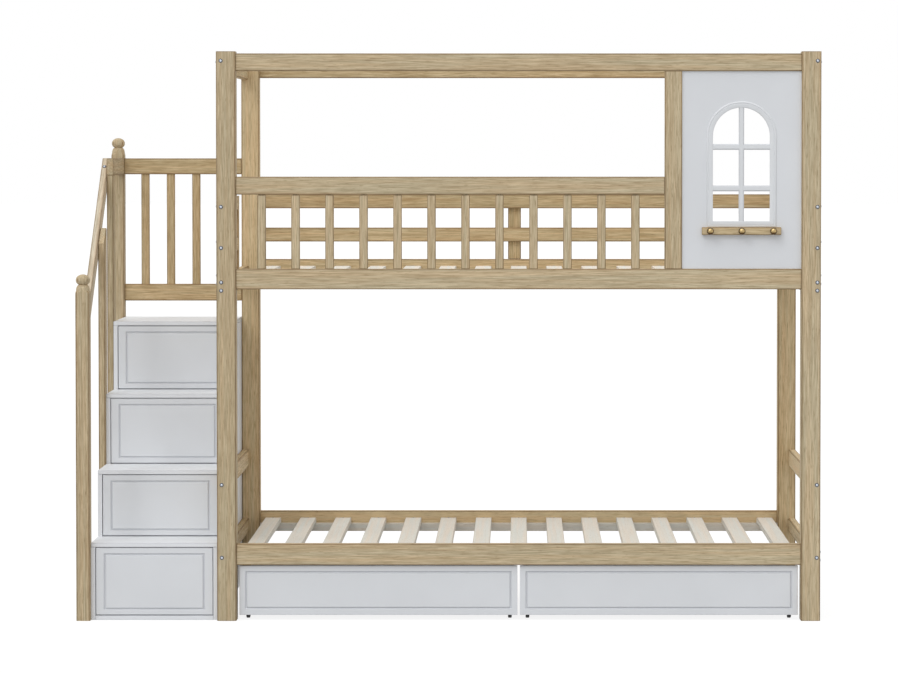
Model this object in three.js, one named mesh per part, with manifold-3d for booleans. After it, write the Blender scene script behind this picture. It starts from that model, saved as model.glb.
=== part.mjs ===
// Bunk bed with a storage staircase, four step drawers and two bed drawers on casters.
//
// Millimetres, +Z up. Everything is laid out from the middle of the bunk's length in X, from the front
// face of the front posts in Y and from the floor in Z. The finished group is then moved so that the
// origin lies on the floor under the middle of the whole object. Left and right are the viewer's.

import * as THREE from 'three';
import { mergeVertices } from 'three/addons/utils/BufferGeometryUtils.js';
import Module from 'manifold-3d';

// Fits

const JOINT_GAP = 0.3; // between boards that touch
const EDGE_EASE = 3; // rounding of a board's long edges
const EASE_STEPS = 2; // facets of that rounding
const TENON = 8; // how far a baluster is let into its rail
const HOUSING = 1; // how far a board is let into the board that it is glued to
const CUT_OVERSHOOT = 1; // a cutter's reach past the faces that it cuts
const MERGE_TOLERANCE = 1e-4; // between two vertices that are the same

// Bunk frame

const CLEAR_LENGTH = 1930; // between the left and the right posts
const BED_DEPTH = 1060; // over the front and the back posts
const POST_WIDTH = 66;
const POST_DEPTH = 60;
const POST_HEIGHT = 1946;

const LONG_RAIL_THICKNESS = 25;
const LONG_RAIL_INSET = 7; // behind the posts' faces
const TOP_RAIL_DROP = 7; // post top to rail top
const TOP_RAIL_HEIGHT = 60;
const UPPER_DECK_TOP = 1204.5;
const UPPER_DECK_RAIL_HEIGHT = 70;
const LOWER_DECK_TOP = 264;
const LOWER_DECK_RAIL_HEIGHT = 73;

const END_RAIL_THICKNESS = 26; // outer faces flush with the posts
const END_TOP_RAIL_DROP = 14;
const END_DECK_RAIL_DROP = 24.5; // long deck rail's top to end deck rail's top
const UPPER_END_RAIL_HEIGHT = 70;
const LOWER_END_RAIL_HEIGHT = 48.5;
const LOW_BOARD_RISE = 232; // lower deck to the top of the head and foot rails
const LOW_BOARD_HEIGHT = 62;

// Slat bases

const SLAT_COUNT = 15;
const SLAT_END_GAP = 18.5; // post to the first and the last slat
const SLAT_WIDTH = 59;
const SLAT_THICKNESS = 19;
const SLAT_DROP = 25; // deck rail's top to slat's top
const CLEAT_DEPTH = 25;

// Guards of the upper bunk, with rises from the upper deck

const FRONT_GUARD_RISE = 314.5;
const FRONT_GUARD_RAIL_HEIGHT = 61;
const BALUSTER_COUNT = 12;
const BALUSTER_WIDTH = 29;
const BALUSTER_DEPTH = 18;
const FIRST_BALUSTER_GAP = 73; // left post to first baluster
const LAST_BALUSTER_GAP = 85; // last baluster to the window stile
const SIDE_GUARD_RISE = 241.5; // back and end guards: top of the upper rail
const BACK_GUARD_LOWER_RISE = 117.5;
const END_GUARD_LOWER_RISE = 97.5;
const SIDE_GUARD_RAIL_HEIGHT = 52;
const BACK_GUARD_THICKNESS = 18;
const BACK_STILE_WIDTH = 48;
const BACK_STILE_CENTRE = -16;
const ENTRY_GUARD_LENGTH = 552; // front post to the end of the left guard, where the entry begins
const ENTRY_STILE_WIDTH = 44;

// Window panel

const PANEL_WIDTH = 408;
const PANEL_THICKNESS = 15;
const PANEL_INSET = 14; // behind the posts' faces
const STILE_WIDTH = 59;
const WINDOW_TO_POST = 205; // window's middle to the right post
const WINDOW_WIDTH = 195;
const WINDOW_SILL_RISE = 162.5; // upper deck to the sill
const WINDOW_CROWN_DROP = 124.5; // top rail to the arch's crown
const UPRIGHT_BAR_WIDTH = 18;
const CROSS_BAR_HEIGHT = 20;
const UPPER_BAR_DROP = 36.5; // where the arch springs to the upper bar's middle
const LOWER_BAR_SHARE = 0.442; // of the way from the sill to the upper bar's middle
const MOULDING_WIDTH = 22;
const MOULDING_FOOT = 20; // below the lights
const MOULDING_RAISE = 4;
const ARCH_STEPS = 10; // a quarter of the arch

// Peg rail

const PEG_RAIL_LENGTH = 270;
const PEG_RAIL_HEIGHT = 26;
const PEG_RAIL_THICKNESS = 16;
const PEG_RAIL_EASE = 2;
const KNOB_COUNT = 3;
const KNOB_PITCH = 107.5;
const KNOB_DIAMETER = 22;
const KNOB_STEM_DIAMETER = 9;
const KNOB_FLANGE_DIAMETER = 15;
const KNOB_FLANGE_THICKNESS = 2;
const KNOB_FLANGE_SLOPE = 1; // flange's face to the stem
const KNOB_REACH = 26; // rail's face to the front of the ball
const KNOB_FACETS = 20;
const KNOB_ARC_STEPS = 7; // stem to the front of the ball

// Staircase carcass

const STAIR_WIDTH = 434;
const STAIR_BACK_INSET = 51; // back posts' back faces to the back edge of the side panels
const PANEL_BOARD = 15; // side panels, treads and base
const BACK_BOARD = 6;
const STEP_RISES = [265, 231, 249, 246]; // to each tread's top from the one below
const STEP_GOINGS = [23, 189, 233, 215]; // to each tread's nose from the one before

// Staircase rail

const NEWEL_WIDTH = 47;
const FRONT_NEWEL_RISE = 204; // handrail's foot to the top of the square
const BACK_NEWEL_RISE = 19; // level rail to the top of the square
const BACK_NEWEL_LEAD = 11; // back newel's front face before the back posts'
const FINIAL_NECK_DIAMETER = 28;
const FINIAL_SHOULDER_HEIGHT = 20;
const FINIAL_BALL_DIAMETER = 46;
const FINIAL_BALL_HEIGHT = 36;
const FINIAL_FACETS = 24;
const FINIAL_RUNOUT = 10; // the turning's lowest cut at the square's corners, below the shoulder
const FINIAL_SHOULDER_STEPS = 4;
const FINIAL_BALL_STEPS = 10;
const SIDE_RAIL_THICKNESS = 24; // flat balusters and the level rail behind the handrail
const SIDE_BALUSTER_WIDTH = 45;
const LOWER_BALUSTER_LEAD = 19; // before the third tread's nose
const LOWER_BALUSTER_DROP = 196; // second tread to the baluster's foot
const UPPER_BALUSTER_SETBACK = 12; // behind the fourth tread's nose
const UPPER_BALUSTER_DROP = 431; // fourth tread to the baluster's foot
const LEVEL_RAIL_RISE = 376.5; // above the upper deck
const LEVEL_RAIL_HEIGHT = 61;
const HANDRAIL_SLOPE = THREE.MathUtils.degToRad(43.6);
const HANDRAIL_DEPTH = 52; // square to its slope
const HANDRAIL_CORNER = 18; // upper baluster's back edge to the start of the level cut
const HANDRAIL_LAP = 58; // upper baluster's back edge to the handrail's end
const BALUSTER_TOP_DROP = 8; // lower baluster's sloped top below the handrail's top

const STAIR_GUARD_THICKNESS = 25;
const STAIR_GUARD_DROP = 1; // level rail's top to the stair guard's
const STAIR_GUARD_TOP_RAIL_HEIGHT = 59;
const STAIR_GUARD_LOW_RAIL_RISE = 122; // fourth tread to the low rail's top
const STAIR_GUARD_LOW_RAIL_HEIGHT = 62;
const STAIR_BALUSTER_COUNT = 4;
const STAIR_BALUSTER_WIDTH = 29.7;
const STAIR_BALUSTER_DEPTH = 16;
const FIRST_STAIR_BALUSTER_GAP = 62; // back newel to first baluster
const LAST_STAIR_BALUSTER_GAP = 59.1; // last baluster to the bunk's post

// Drawers

const GROOVE_WIDTH = 6;
const GROOVE_DEPTH = 2.5;
const DRAWER_WALL = 12;
const DRAWER_FLOOR = 6;
const STEP_FRONT_GAP = 3; // around a step drawer's front
const STEP_FRONT_RECESS = 2;
const STEP_FRONT_THICKNESS = 15;
const STEP_GROOVE_INSET = { side: 29, top: 20, bottom: 22 };
const STEP_BOX_DEPTH = 440; // at most
const STEP_BOX_BACK_GAP = 22; // box to the back edge of the side panels, at least
const STEP_BOX_HEADROOM = 40; // front's top to the box's rim
const STEP_FLOOR_LIFT = 10;
const GLIDE_GAP = 0.5; // step drawer's box over its shelf

const BED_FRONT_SIDE_GAP = 9.5;
const BED_FRONT_CENTRE_GAP = 10.5;
const BED_FRONT_RECESS = 20;
const BED_FRONT_BOTTOM = 18;
const BED_FRONT_TOP_GAP = 5; // under the lower deck rail
const BED_FRONT_THICKNESS = 16;
const BED_GROOVE_INSET = { side: 25, top: 20, bottom: 25 };
const BED_BOX_DEPTH = 560;
const BED_BOX_INSET = 10; // front's end to the box's side
const BED_BOX_BOTTOM = 40;
const BED_BOX_HEADROOM = 41; // front's top to the box's rim

// Casters

const WHEEL_DIAMETER = 34;
const WHEEL_WIDTH = 13;
const WHEEL_CROWN = 1.5; // bevel of the rim
const WHEEL_FACETS = 24;
const AXLE_DIAMETER = 6;
const AXLE_CLEARANCE = 0.12; // radial, to the bore's corners
const FORK_WALL = 2.5;
const FORK_WIDTH = 16;
const FORK_CLEARANCE = 0.6; // fork to the wheel's side
const FORK_BELOW_AXLE = 5;
const CASTER_INSET = 25; // front's end to the wheel's middle
const FRONT_CASTER_SETBACK = 58; // front's face to the axle
const BACK_CASTER_INSET = 76; // axle to the box's back

// Finishes

const OAK = new THREE.MeshStandardMaterial({ color: 0xb8a88a, roughness: 0.6, metalness: 0 });
const CREAM = new THREE.MeshStandardMaterial({ color: 0xded8cd, roughness: 0.65, metalness: 0 });
const WHITE = new THREE.MeshStandardMaterial({ color: 0xccd0d4, roughness: 0.45, metalness: 0 });
const BRASS = new THREE.MeshStandardMaterial({ color: 0xc59a55, roughness: 0.2, metalness: 1 });
const BLACK = new THREE.MeshStandardMaterial({ color: 0x1c1c1e, roughness: 0.5, metalness: 0 });

// Levels and planes that several pieces share

const postInner = CLEAR_LENGTH / 2;
const postOuter = postInner + POST_WIDTH;
const backPostFront = BED_DEPTH - POST_DEPTH;
const endRailInner = postOuter - END_RAIL_THICKNESS;
const frontRailInner = LONG_RAIL_INSET + LONG_RAIL_THICKNESS;
const backRailInner = BED_DEPTH - frontRailInner;
const topRailTop = POST_HEIGHT - TOP_RAIL_DROP;
const topRailBottom = topRailTop - TOP_RAIL_HEIGHT;
const panelRight = postInner;
const panelLeft = panelRight - PANEL_WIDTH;
const stileLeft = panelLeft - STILE_WIDTH;
const windowCentre = postInner - WINDOW_TO_POST;
const windowSill = UPPER_DECK_TOP + WINDOW_SILL_RISE;
const windowSpring = topRailBottom - WINDOW_CROWN_DROP - WINDOW_WIDTH / 2;
const upperBar = windowSpring - UPPER_BAR_DROP;
const lowerBar = windowSill + LOWER_BAR_SHARE * (upperBar - windowSill);
const mouldingFace = PANEL_INSET - MOULDING_RAISE;
const pegRailTop = windowSill - MOULDING_FOOT - JOINT_GAP;
const pegRailFace = PANEL_INSET - JOINT_GAP - PEG_RAIL_THICKNESS;
const knobFront = pegRailFace - JOINT_GAP - KNOB_REACH;
const sideGuardTop = UPPER_DECK_TOP + SIDE_GUARD_RISE;
const stairRight = -(postOuter + JOINT_GAP);
const stairLeft = stairRight - STAIR_WIDTH;
const stairBack = BED_DEPTH - STAIR_BACK_INSET;
const newelRight = stairLeft - JOINT_GAP;
const newelLeft = newelRight - NEWEL_WIDTH;
const backNewelFront = backPostFront - BACK_NEWEL_LEAD;
const levelRailTop = UPPER_DECK_TOP + LEVEL_RAIL_RISE;

// Solids

const wasm = await Module();
wasm.setup();

/** Turns a closed geometry into a solid that can be joined and cut. */
function solidOf(geometry) {
  const bare = geometry.clone();
  bare.deleteAttribute('normal');
  bare.deleteAttribute('uv');
  const merged = mergeVertices(bare, MERGE_TOLERANCE);
  return new wasm.Manifold(new wasm.Mesh({
    numProp: 3,
    vertProperties: new Float32Array(merged.attributes.position.array),
    triVerts: new Uint32Array(merged.index.array),
  }));
}

/** Turns a joined or cut solid back into a flat-shaded geometry. */
function geometryOf(solid) {
  const mesh = solid.getMesh();
  const geometry = new THREE.BufferGeometry();
  geometry.setAttribute('position', new THREE.BufferAttribute(mesh.vertProperties, 3));
  geometry.setIndex(new THREE.BufferAttribute(mesh.triVerts, 1));
  const flat = geometry.toNonIndexed();
  flat.computeVertexNormals();
  return flat;
}

function joined(geometries) {
  return geometryOf(geometries.map(solidOf).reduce((whole, piece) => whole.add(piece)));
}

function span(low, high) {
  return { low, high, size: high - low, middle: (low + high) / 2 };
}

/** Spans of equal width at equal pitch, the first from start and the last to end. */
function evenSpans(start, end, count, width) {
  const pitch = (end - start - width) / (count - 1);
  return Array.from({ length: count }, (_, i) => span(start + i * pitch, start + i * pitch + width));
}

/** A rectangle with rounded corners, centred on the origin. */
function easedRectangle(width, height, ease) {
  const shape = new THREE.Shape();
  const [w, h] = [width / 2, height / 2];
  const r = Math.min(ease, w / 2, h / 2);
  shape.moveTo(w, h - r);
  shape.absarc(w - r, h - r, r, 0, Math.PI / 2);
  shape.absarc(-w + r, h - r, r, Math.PI / 2, Math.PI);
  shape.absarc(-w + r, -h + r, r, Math.PI, 1.5 * Math.PI);
  shape.absarc(w - r, -h + r, r, 1.5 * Math.PI, 2 * Math.PI);
  return shape;
}

// Each board is extruded along its grain. These turn the extrusion's X, Y and Z to the board's.
const GRAIN = {
  x: new THREE.Matrix4().makeBasis(
    new THREE.Vector3(0, 1, 0), new THREE.Vector3(0, 0, 1), new THREE.Vector3(1, 0, 0)),
  y: new THREE.Matrix4().makeBasis(
    new THREE.Vector3(0, 0, 1), new THREE.Vector3(1, 0, 0), new THREE.Vector3(0, 1, 0)),
  z: new THREE.Matrix4(),
};

/** Points at equal steps along an arc; point turns an angle into a point. */
function arc(from, to, steps, point) {
  return Array.from({ length: steps + 1 }, (_, i) => point(from + (to - from) * (i / steps)));
}

/** A board of the given spans in X, Y and Z, with its long edges eased, where it stands. */
function board(x, y, z, grain, ease = EDGE_EASE) {
  const sections = { x: [y.size, z.size], y: [z.size, x.size], z: [x.size, y.size] };
  const length = { x: x.size, y: y.size, z: z.size }[grain];
  const outline = easedRectangle(...sections[grain], ease);
  return new THREE.ExtrudeGeometry(outline, { depth: length, bevelEnabled: false, curveSegments: EASE_STEPS })
    .translate(0, 0, -length / 2)
    .applyMatrix4(GRAIN[grain])
    .translate(x.middle, y.middle, z.middle);
}

/** A square-edged block of the given spans, where it stands. */
function block(x, y, z) {
  return new THREE.BoxGeometry(x.size, y.size, z.size).translate(x.middle, y.middle, z.middle);
}

/** A profile drawn in the Y and Z of the bed, extruded over a span in X. */
function sideProfile(points, x) {
  const outline = new THREE.Shape(points.map(([y, z]) => new THREE.Vector2(y, z)));
  return new THREE.ExtrudeGeometry(outline, { depth: x.size, bevelEnabled: false })
    .applyMatrix4(GRAIN.x)
    .translate(x.low, 0, 0);
}

/** A revolved profile of [radius, height] points, standing on Z. */
function turned(points, facets) {
  return new THREE.LatheGeometry(points.map(([r, z]) => new THREE.Vector2(r, z)), facets)
    .rotateX(Math.PI / 2);
}

/** Names a geometry that was made in place, and carries its place in the mesh's position. */
function piece(name, geometry, material) {
  geometry.computeBoundingBox();
  const centre = geometry.boundingBox.getCenter(new THREE.Vector3());
  geometry.translate(-centre.x, -centre.y, -centre.z);
  const mesh = new THREE.Mesh(geometry, material.clone());
  mesh.name = name;
  mesh.position.copy(centre);
  return mesh;
}

// Bunk frame

function frontAndBack(thickness, inset) {
  return {
    front: span(inset, inset + thickness),
    back: span(BED_DEPTH - inset - thickness, BED_DEPTH - inset),
  };
}

function bunkFrame() {
  const group = new THREE.Group();
  const postX = { left: span(-postOuter, -postInner), right: span(postInner, postOuter) };
  const postY = frontAndBack(POST_DEPTH, 0);
  for (const [row, y] of Object.entries(postY)) {
    for (const [side, x] of Object.entries(postX)) {
      const post = board(x, y, span(0, POST_HEIGHT), 'z');
      group.add(piece(`post_${row}_${side}`, post, OAK));
    }
  }

  const longX = span(-postInner + JOINT_GAP, postInner - JOINT_GAP);
  const longLevels = {
    top_rail: span(topRailBottom, topRailTop),
    upper_deck_rail: span(UPPER_DECK_TOP - UPPER_DECK_RAIL_HEIGHT, UPPER_DECK_TOP),
    lower_deck_rail: span(LOWER_DECK_TOP - LOWER_DECK_RAIL_HEIGHT, LOWER_DECK_TOP),
  };
  const longY = frontAndBack(LONG_RAIL_THICKNESS, LONG_RAIL_INSET);
  for (const [name, z] of Object.entries(longLevels)) {
    for (const [row, y] of Object.entries(longY)) {
      group.add(piece(`${name}_${row}`, board(longX, y, z, 'x'), OAK));
    }
  }

  const endX = { left: span(-postOuter, -endRailInner), right: span(endRailInner, postOuter) };
  const endY = span(POST_DEPTH + JOINT_GAP, backPostFront - JOINT_GAP);
  const endTop = POST_HEIGHT - END_TOP_RAIL_DROP;
  const upperEndTop = UPPER_DECK_TOP - END_DECK_RAIL_DROP;
  const lowerEndTop = LOWER_DECK_TOP - END_DECK_RAIL_DROP;
  const lowBoardTop = LOWER_DECK_TOP + LOW_BOARD_RISE;
  for (const [side, x] of Object.entries(endX)) {
    const levels = {
      [`top_rail_${side}`]: span(endTop - TOP_RAIL_HEIGHT, endTop),
      [`upper_deck_rail_${side}`]: span(upperEndTop - UPPER_END_RAIL_HEIGHT, upperEndTop),
      [`lower_deck_rail_${side}`]: span(lowerEndTop - LOWER_END_RAIL_HEIGHT, lowerEndTop),
      [side === 'left' ? 'foot_rail' : 'head_rail']: span(lowBoardTop - LOW_BOARD_HEIGHT, lowBoardTop),
    };
    for (const [name, z] of Object.entries(levels)) {
      group.add(piece(name, board(x, endY, z, 'y'), OAK));
    }
  }
  return group;
}

/** Slats laid across two cleats, which are screwed to the inner faces of the long deck rails. */
function slatBase(name, deckTop, railHeight) {
  const slatZ = span(deckTop - SLAT_DROP - SLAT_THICKNESS, deckTop - SLAT_DROP);
  const across = span(frontRailInner + JOINT_GAP, backRailInner - JOINT_GAP);
  const cleatZ = span(deckTop - railHeight, slatZ.low + HOUSING);
  const cleatX = span(-postInner + JOINT_GAP, postInner - JOINT_GAP);
  const cleats = [
    span(across.low, across.low + CLEAT_DEPTH),
    span(across.high - CLEAT_DEPTH, across.high),
  ].map((y) => block(cleatX, y, cleatZ));
  const slatsEnd = postInner - SLAT_END_GAP;
  const slats = evenSpans(-slatsEnd, slatsEnd, SLAT_COUNT, SLAT_WIDTH)
    .map((x) => block(x, across, slatZ));
  return piece(name, joined([...cleats, ...slats]), CREAM);
}

// Guards of the upper bunk

function frontGuard() {
  const railY = frontAndBack(LONG_RAIL_THICKNESS, LONG_RAIL_INSET).front;
  const top = UPPER_DECK_TOP + FRONT_GUARD_RISE;
  const railZ = span(top - FRONT_GUARD_RAIL_HEIGHT, top);
  const rail = board(span(-postInner + JOINT_GAP, stileLeft - JOINT_GAP), railY, railZ, 'x');
  const y = span(railY.middle - BALUSTER_DEPTH / 2, railY.middle + BALUSTER_DEPTH / 2);
  const z = span(UPPER_DECK_TOP + JOINT_GAP, railZ.low + TENON);
  const [start, end] = [-postInner + FIRST_BALUSTER_GAP, stileLeft - LAST_BALUSTER_GAP];
  const balusters = evenSpans(start, end, BALUSTER_COUNT, BALUSTER_WIDTH)
    .map((x) => board(x, y, z, 'z'));
  return piece('front_guard', joined([rail, ...balusters]), OAK);
}

function backGuard() {
  const y = span(backRailInner, backRailInner + BACK_GUARD_THICKNESS);
  const x = span(-postInner + JOINT_GAP, postInner - JOINT_GAP);
  const rails = [sideGuardTop, UPPER_DECK_TOP + BACK_GUARD_LOWER_RISE]
    .map((top) => board(x, y, span(top - SIDE_GUARD_RAIL_HEIGHT, top), 'x'));
  const stile = board(
    span(BACK_STILE_CENTRE - BACK_STILE_WIDTH / 2, BACK_STILE_CENTRE + BACK_STILE_WIDTH / 2),
    span(y.high - HOUSING, BED_DEPTH),
    span(UPPER_DECK_TOP + JOINT_GAP, sideGuardTop),
    'z');
  return piece('back_guard', joined([...rails, stile]), OAK);
}

/** The left guard stops at a stile beside the entry; the right guard runs from post to post. */
function endGuards() {
  const group = new THREE.Group();
  const [leftX, rightX] = [span(-postOuter, -endRailInner), span(endRailInner, postOuter)];
  const railY = span(POST_DEPTH + JOINT_GAP, backPostFront - JOINT_GAP);
  const levels = { upper: sideGuardTop, lower: UPPER_DECK_TOP + END_GUARD_LOWER_RISE };
  for (const [level, top] of Object.entries(levels)) {
    const rail = board(rightX, railY, span(top - SIDE_GUARD_RAIL_HEIGHT, top), 'y');
    group.add(piece(`right_guard_rail_${level}`, rail, OAK));
  }

  const entry = POST_DEPTH + ENTRY_GUARD_LENGTH;
  const stileZ = span(UPPER_DECK_TOP - END_DECK_RAIL_DROP + JOINT_GAP, sideGuardTop);
  const stile = board(leftX, span(entry - ENTRY_STILE_WIDTH, entry), stileZ, 'z');
  const shortY = span(railY.low, entry - ENTRY_STILE_WIDTH + TENON);
  const rails = Object.values(levels)
    .map((top) => board(leftX, shortY, span(top - SIDE_GUARD_RAIL_HEIGHT, top), 'y'));
  group.add(piece('left_guard', joined([stile, ...rails]), OAK));
  return group;
}

// Window panel

/** The arched outline of the window, grown by a margin on its sides and its arch. */
function archOutline(margin, bottom) {
  const radius = WINDOW_WIDTH / 2 + margin;
  const outline = new THREE.Shape();
  outline.moveTo(windowCentre - radius, bottom);
  outline.lineTo(windowCentre + radius, bottom);
  outline.absarc(windowCentre, windowSpring, radius, 0, Math.PI);
  return outline;
}

/** The outlines of the six lights between the glazing bars, from the sill up. */
function lightOutlines() {
  const outlines = [];
  const radius = WINDOW_WIDTH / 2;
  const halfBar = UPRIGHT_BAR_WIDTH / 2;
  const rows = [
    span(windowSill, lowerBar - CROSS_BAR_HEIGHT / 2),
    span(lowerBar + CROSS_BAR_HEIGHT / 2, upperBar - CROSS_BAR_HEIGHT / 2),
  ];
  const archFoot = upperBar + CROSS_BAR_HEIGHT / 2;
  const reach = Math.acos(halfBar / radius);
  for (const side of [-1, 1]) {
    const [outer, inner] = [windowCentre + side * radius, windowCentre + side * halfBar];
    for (const { low, high } of rows) {
      outlines.push([[outer, low], [inner, low], [inner, high], [outer, high]]);
    }
    const arch = arc(0, reach, ARCH_STEPS, (angle) => [
      windowCentre + side * radius * Math.cos(angle), windowSpring + radius * Math.sin(angle)]);
    outlines.push([[inner, archFoot], [outer, archFoot], ...arch]);
  }
  return outlines.map((points) => new THREE.Shape(points.map(([x, z]) => new THREE.Vector2(x, z))));
}

/** A shape drawn in the X and Z of the bed, extruded over a span in Y. */
function frontProfile(shape, y) {
  const options = { depth: y.size, bevelEnabled: false, curveSegments: 2 * ARCH_STEPS };
  return new THREE.ExtrudeGeometry(shape, options)
    .rotateX(Math.PI / 2)
    .translate(0, y.high, 0);
}

function windowPanel() {
  const z = span(UPPER_DECK_TOP + JOINT_GAP, topRailBottom - JOINT_GAP);
  const x = span(panelLeft + JOINT_GAP, panelRight - JOINT_GAP);
  const sheet = block(x, span(PANEL_INSET, PANEL_INSET + PANEL_THICKNESS), z);
  const moulding = frontProfile(
    archOutline(MOULDING_WIDTH, windowSill - MOULDING_FOOT), span(mouldingFace, PANEL_INSET + HOUSING));
  const through = span(mouldingFace - CUT_OVERSHOOT, PANEL_INSET + PANEL_THICKNESS + CUT_OVERSHOOT);
  const panel = lightOutlines()
    .map((outline) => solidOf(frontProfile(outline, through)))
    .reduce((solid, light) => solid.subtract(light), solidOf(sheet).add(solidOf(moulding)));
  return piece('window_panel', geometryOf(panel), WHITE);
}

function windowStile() {
  const y = frontAndBack(LONG_RAIL_THICKNESS, LONG_RAIL_INSET).front;
  const z = span(UPPER_DECK_TOP + JOINT_GAP, topRailBottom - JOINT_GAP);
  return piece('window_stile', board(span(stileLeft, panelLeft), y, z, 'z'), OAK);
}

// Peg rail

/** Radius and height of a peg's knob, from its flange on the rail to the front of its ball. */
function knobProfile() {
  const ball = KNOB_DIAMETER / 2;
  const stem = KNOB_STEM_DIAMETER / 2;
  const flange = KNOB_FLANGE_DIAMETER / 2;
  const centre = KNOB_REACH - ball;
  const meet = Math.asin(stem / ball);
  const round = arc(Math.PI - meet, 0, KNOB_ARC_STEPS, (angle) => [
    ball * Math.sin(angle), centre + ball * Math.cos(angle)]);
  return [
    [0, 0], [flange, 0], [flange, KNOB_FLANGE_THICKNESS], [stem, KNOB_FLANGE_THICKNESS + KNOB_FLANGE_SLOPE],
    ...round,
  ];
}

function pegRail() {
  const group = new THREE.Group();
  const z = span(pegRailTop - PEG_RAIL_HEIGHT, pegRailTop);
  const x = span(windowCentre - PEG_RAIL_LENGTH / 2, windowCentre + PEG_RAIL_LENGTH / 2);
  const y = span(pegRailFace, pegRailFace + PEG_RAIL_THICKNESS);
  group.add(piece('peg_rail', board(x, y, z, 'x', PEG_RAIL_EASE), OAK));
  for (let i = 0; i < KNOB_COUNT; i += 1) {
    const knob = turned(knobProfile(), KNOB_FACETS).rotateX(Math.PI / 2);
    const offset = (i - (KNOB_COUNT - 1) / 2) * KNOB_PITCH;
    knob.translate(windowCentre + offset, pegRailFace - JOINT_GAP, z.middle);
    group.add(piece(`peg_knob_${i + 1}`, knob, BRASS));
  }
  return group;
}

// Staircase carcass

function total(values) {
  return values.reduce((sum, value) => sum + value, 0);
}

/** Each step: its tread's nose and top, and the top of the shelf that its drawer runs on. */
const steps = STEP_RISES.map((rise, i) => {
  const top = total(STEP_RISES.slice(0, i + 1));
  return { front: total(STEP_GOINGS.slice(0, i + 1)), top, shelf: i === 0 ? PANEL_BOARD : top - rise };
});

/** The outline of a side panel, which rises in steps under the treads. */
function steppedOutline() {
  const corners = steps.flatMap(({ front, top }, i) => {
    const under = top - PANEL_BOARD - JOINT_GAP;
    return [[front, under], [steps[i + 1]?.front ?? stairBack, under]];
  });
  return [[steps[0].front, 0], ...corners, [stairBack, 0]];
}

function stairCarcass() {
  const group = new THREE.Group();
  const leftX = span(stairLeft, stairLeft + PANEL_BOARD);
  const rightX = span(stairRight - PANEL_BOARD, stairRight);
  const insideX = span(leftX.high + JOINT_GAP, rightX.low - JOINT_GAP);
  group.add(piece('stair_side_left', sideProfile(steppedOutline(), leftX), WHITE));
  group.add(piece('stair_side_right', sideProfile(steppedOutline(), rightX), WHITE));

  // Each tread's nose covers the side panels and its tongue runs back between them as a shelf.
  const backY = span(stairBack + JOINT_GAP, stairBack + JOINT_GAP + BACK_BOARD);
  steps.forEach(({ front, top }, i) => {
    const next = steps[i + 1];
    const z = span(top - PANEL_BOARD, top);
    const tread = next
      ? joined([
        block(span(stairLeft, stairRight), span(front, next.front - JOINT_GAP), z),
        block(insideX, span(next.front - JOINT_GAP - HOUSING, stairBack), z),
      ])
      : block(span(stairLeft, stairRight), span(front, backY.high), z);
    group.add(piece(`tread_${i + 1}`, tread, WHITE));
  });

  const baseY = span(steps[0].front, stairBack);
  group.add(piece('stair_base', block(insideX, baseY, span(0, PANEL_BOARD)), WHITE));
  const backZ = span(0, steps.at(-1).top - PANEL_BOARD - JOINT_GAP);
  group.add(piece('stair_back', block(span(stairLeft, stairRight), backY, backZ), WHITE));
  return group;
}

// Staircase rail

/** Radius and height of the turned top above the square, from the lowest cut at the corners up. */
function finialProfile(shoulder) {
  const half = NEWEL_WIDTH / 2;
  const neck = FINIAL_NECK_DIAMETER / 2;
  const quarter = arc(0, Math.PI / 2, FINIAL_SHOULDER_STEPS, (angle) => [
    neck + (half - neck) * Math.cos(angle), shoulder + FINIAL_SHOULDER_HEIGHT * Math.sin(angle)]);
  const [rx, rz] = [FINIAL_BALL_DIAMETER / 2, FINIAL_BALL_HEIGHT / 2];
  const start = Math.asin(neck / rx);
  const centre = shoulder + FINIAL_SHOULDER_HEIGHT + rz * Math.cos(start);
  const ball = arc(Math.PI - start, 0, FINIAL_BALL_STEPS, (angle) => [
    rx * Math.sin(angle), centre + rz * Math.cos(angle)]);
  return [...quarter, ...ball.slice(1)];
}

/** A square newel whose top is turned: the square is cut by a revolved profile wider than its corners. */
function newel(name, front, shoulder) {
  const profile = finialProfile(shoulder);
  const top = profile.at(-1)[1];
  const cutter = turned([
    [0, 0], [NEWEL_WIDTH, 0], [NEWEL_WIDTH, shoulder - FINIAL_RUNOUT], ...profile,
  ], FINIAL_FACETS);
  const square = board(
    span(-NEWEL_WIDTH / 2, NEWEL_WIDTH / 2), span(-NEWEL_WIDTH / 2, NEWEL_WIDTH / 2),
    span(0, top + CUT_OVERSHOOT), 'z');
  const solid = geometryOf(solidOf(square).intersect(solidOf(cutter)));
  solid.translate((newelLeft + newelRight) / 2, front + NEWEL_WIDTH / 2, 0);
  return piece(name, solid, OAK);
}

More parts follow.
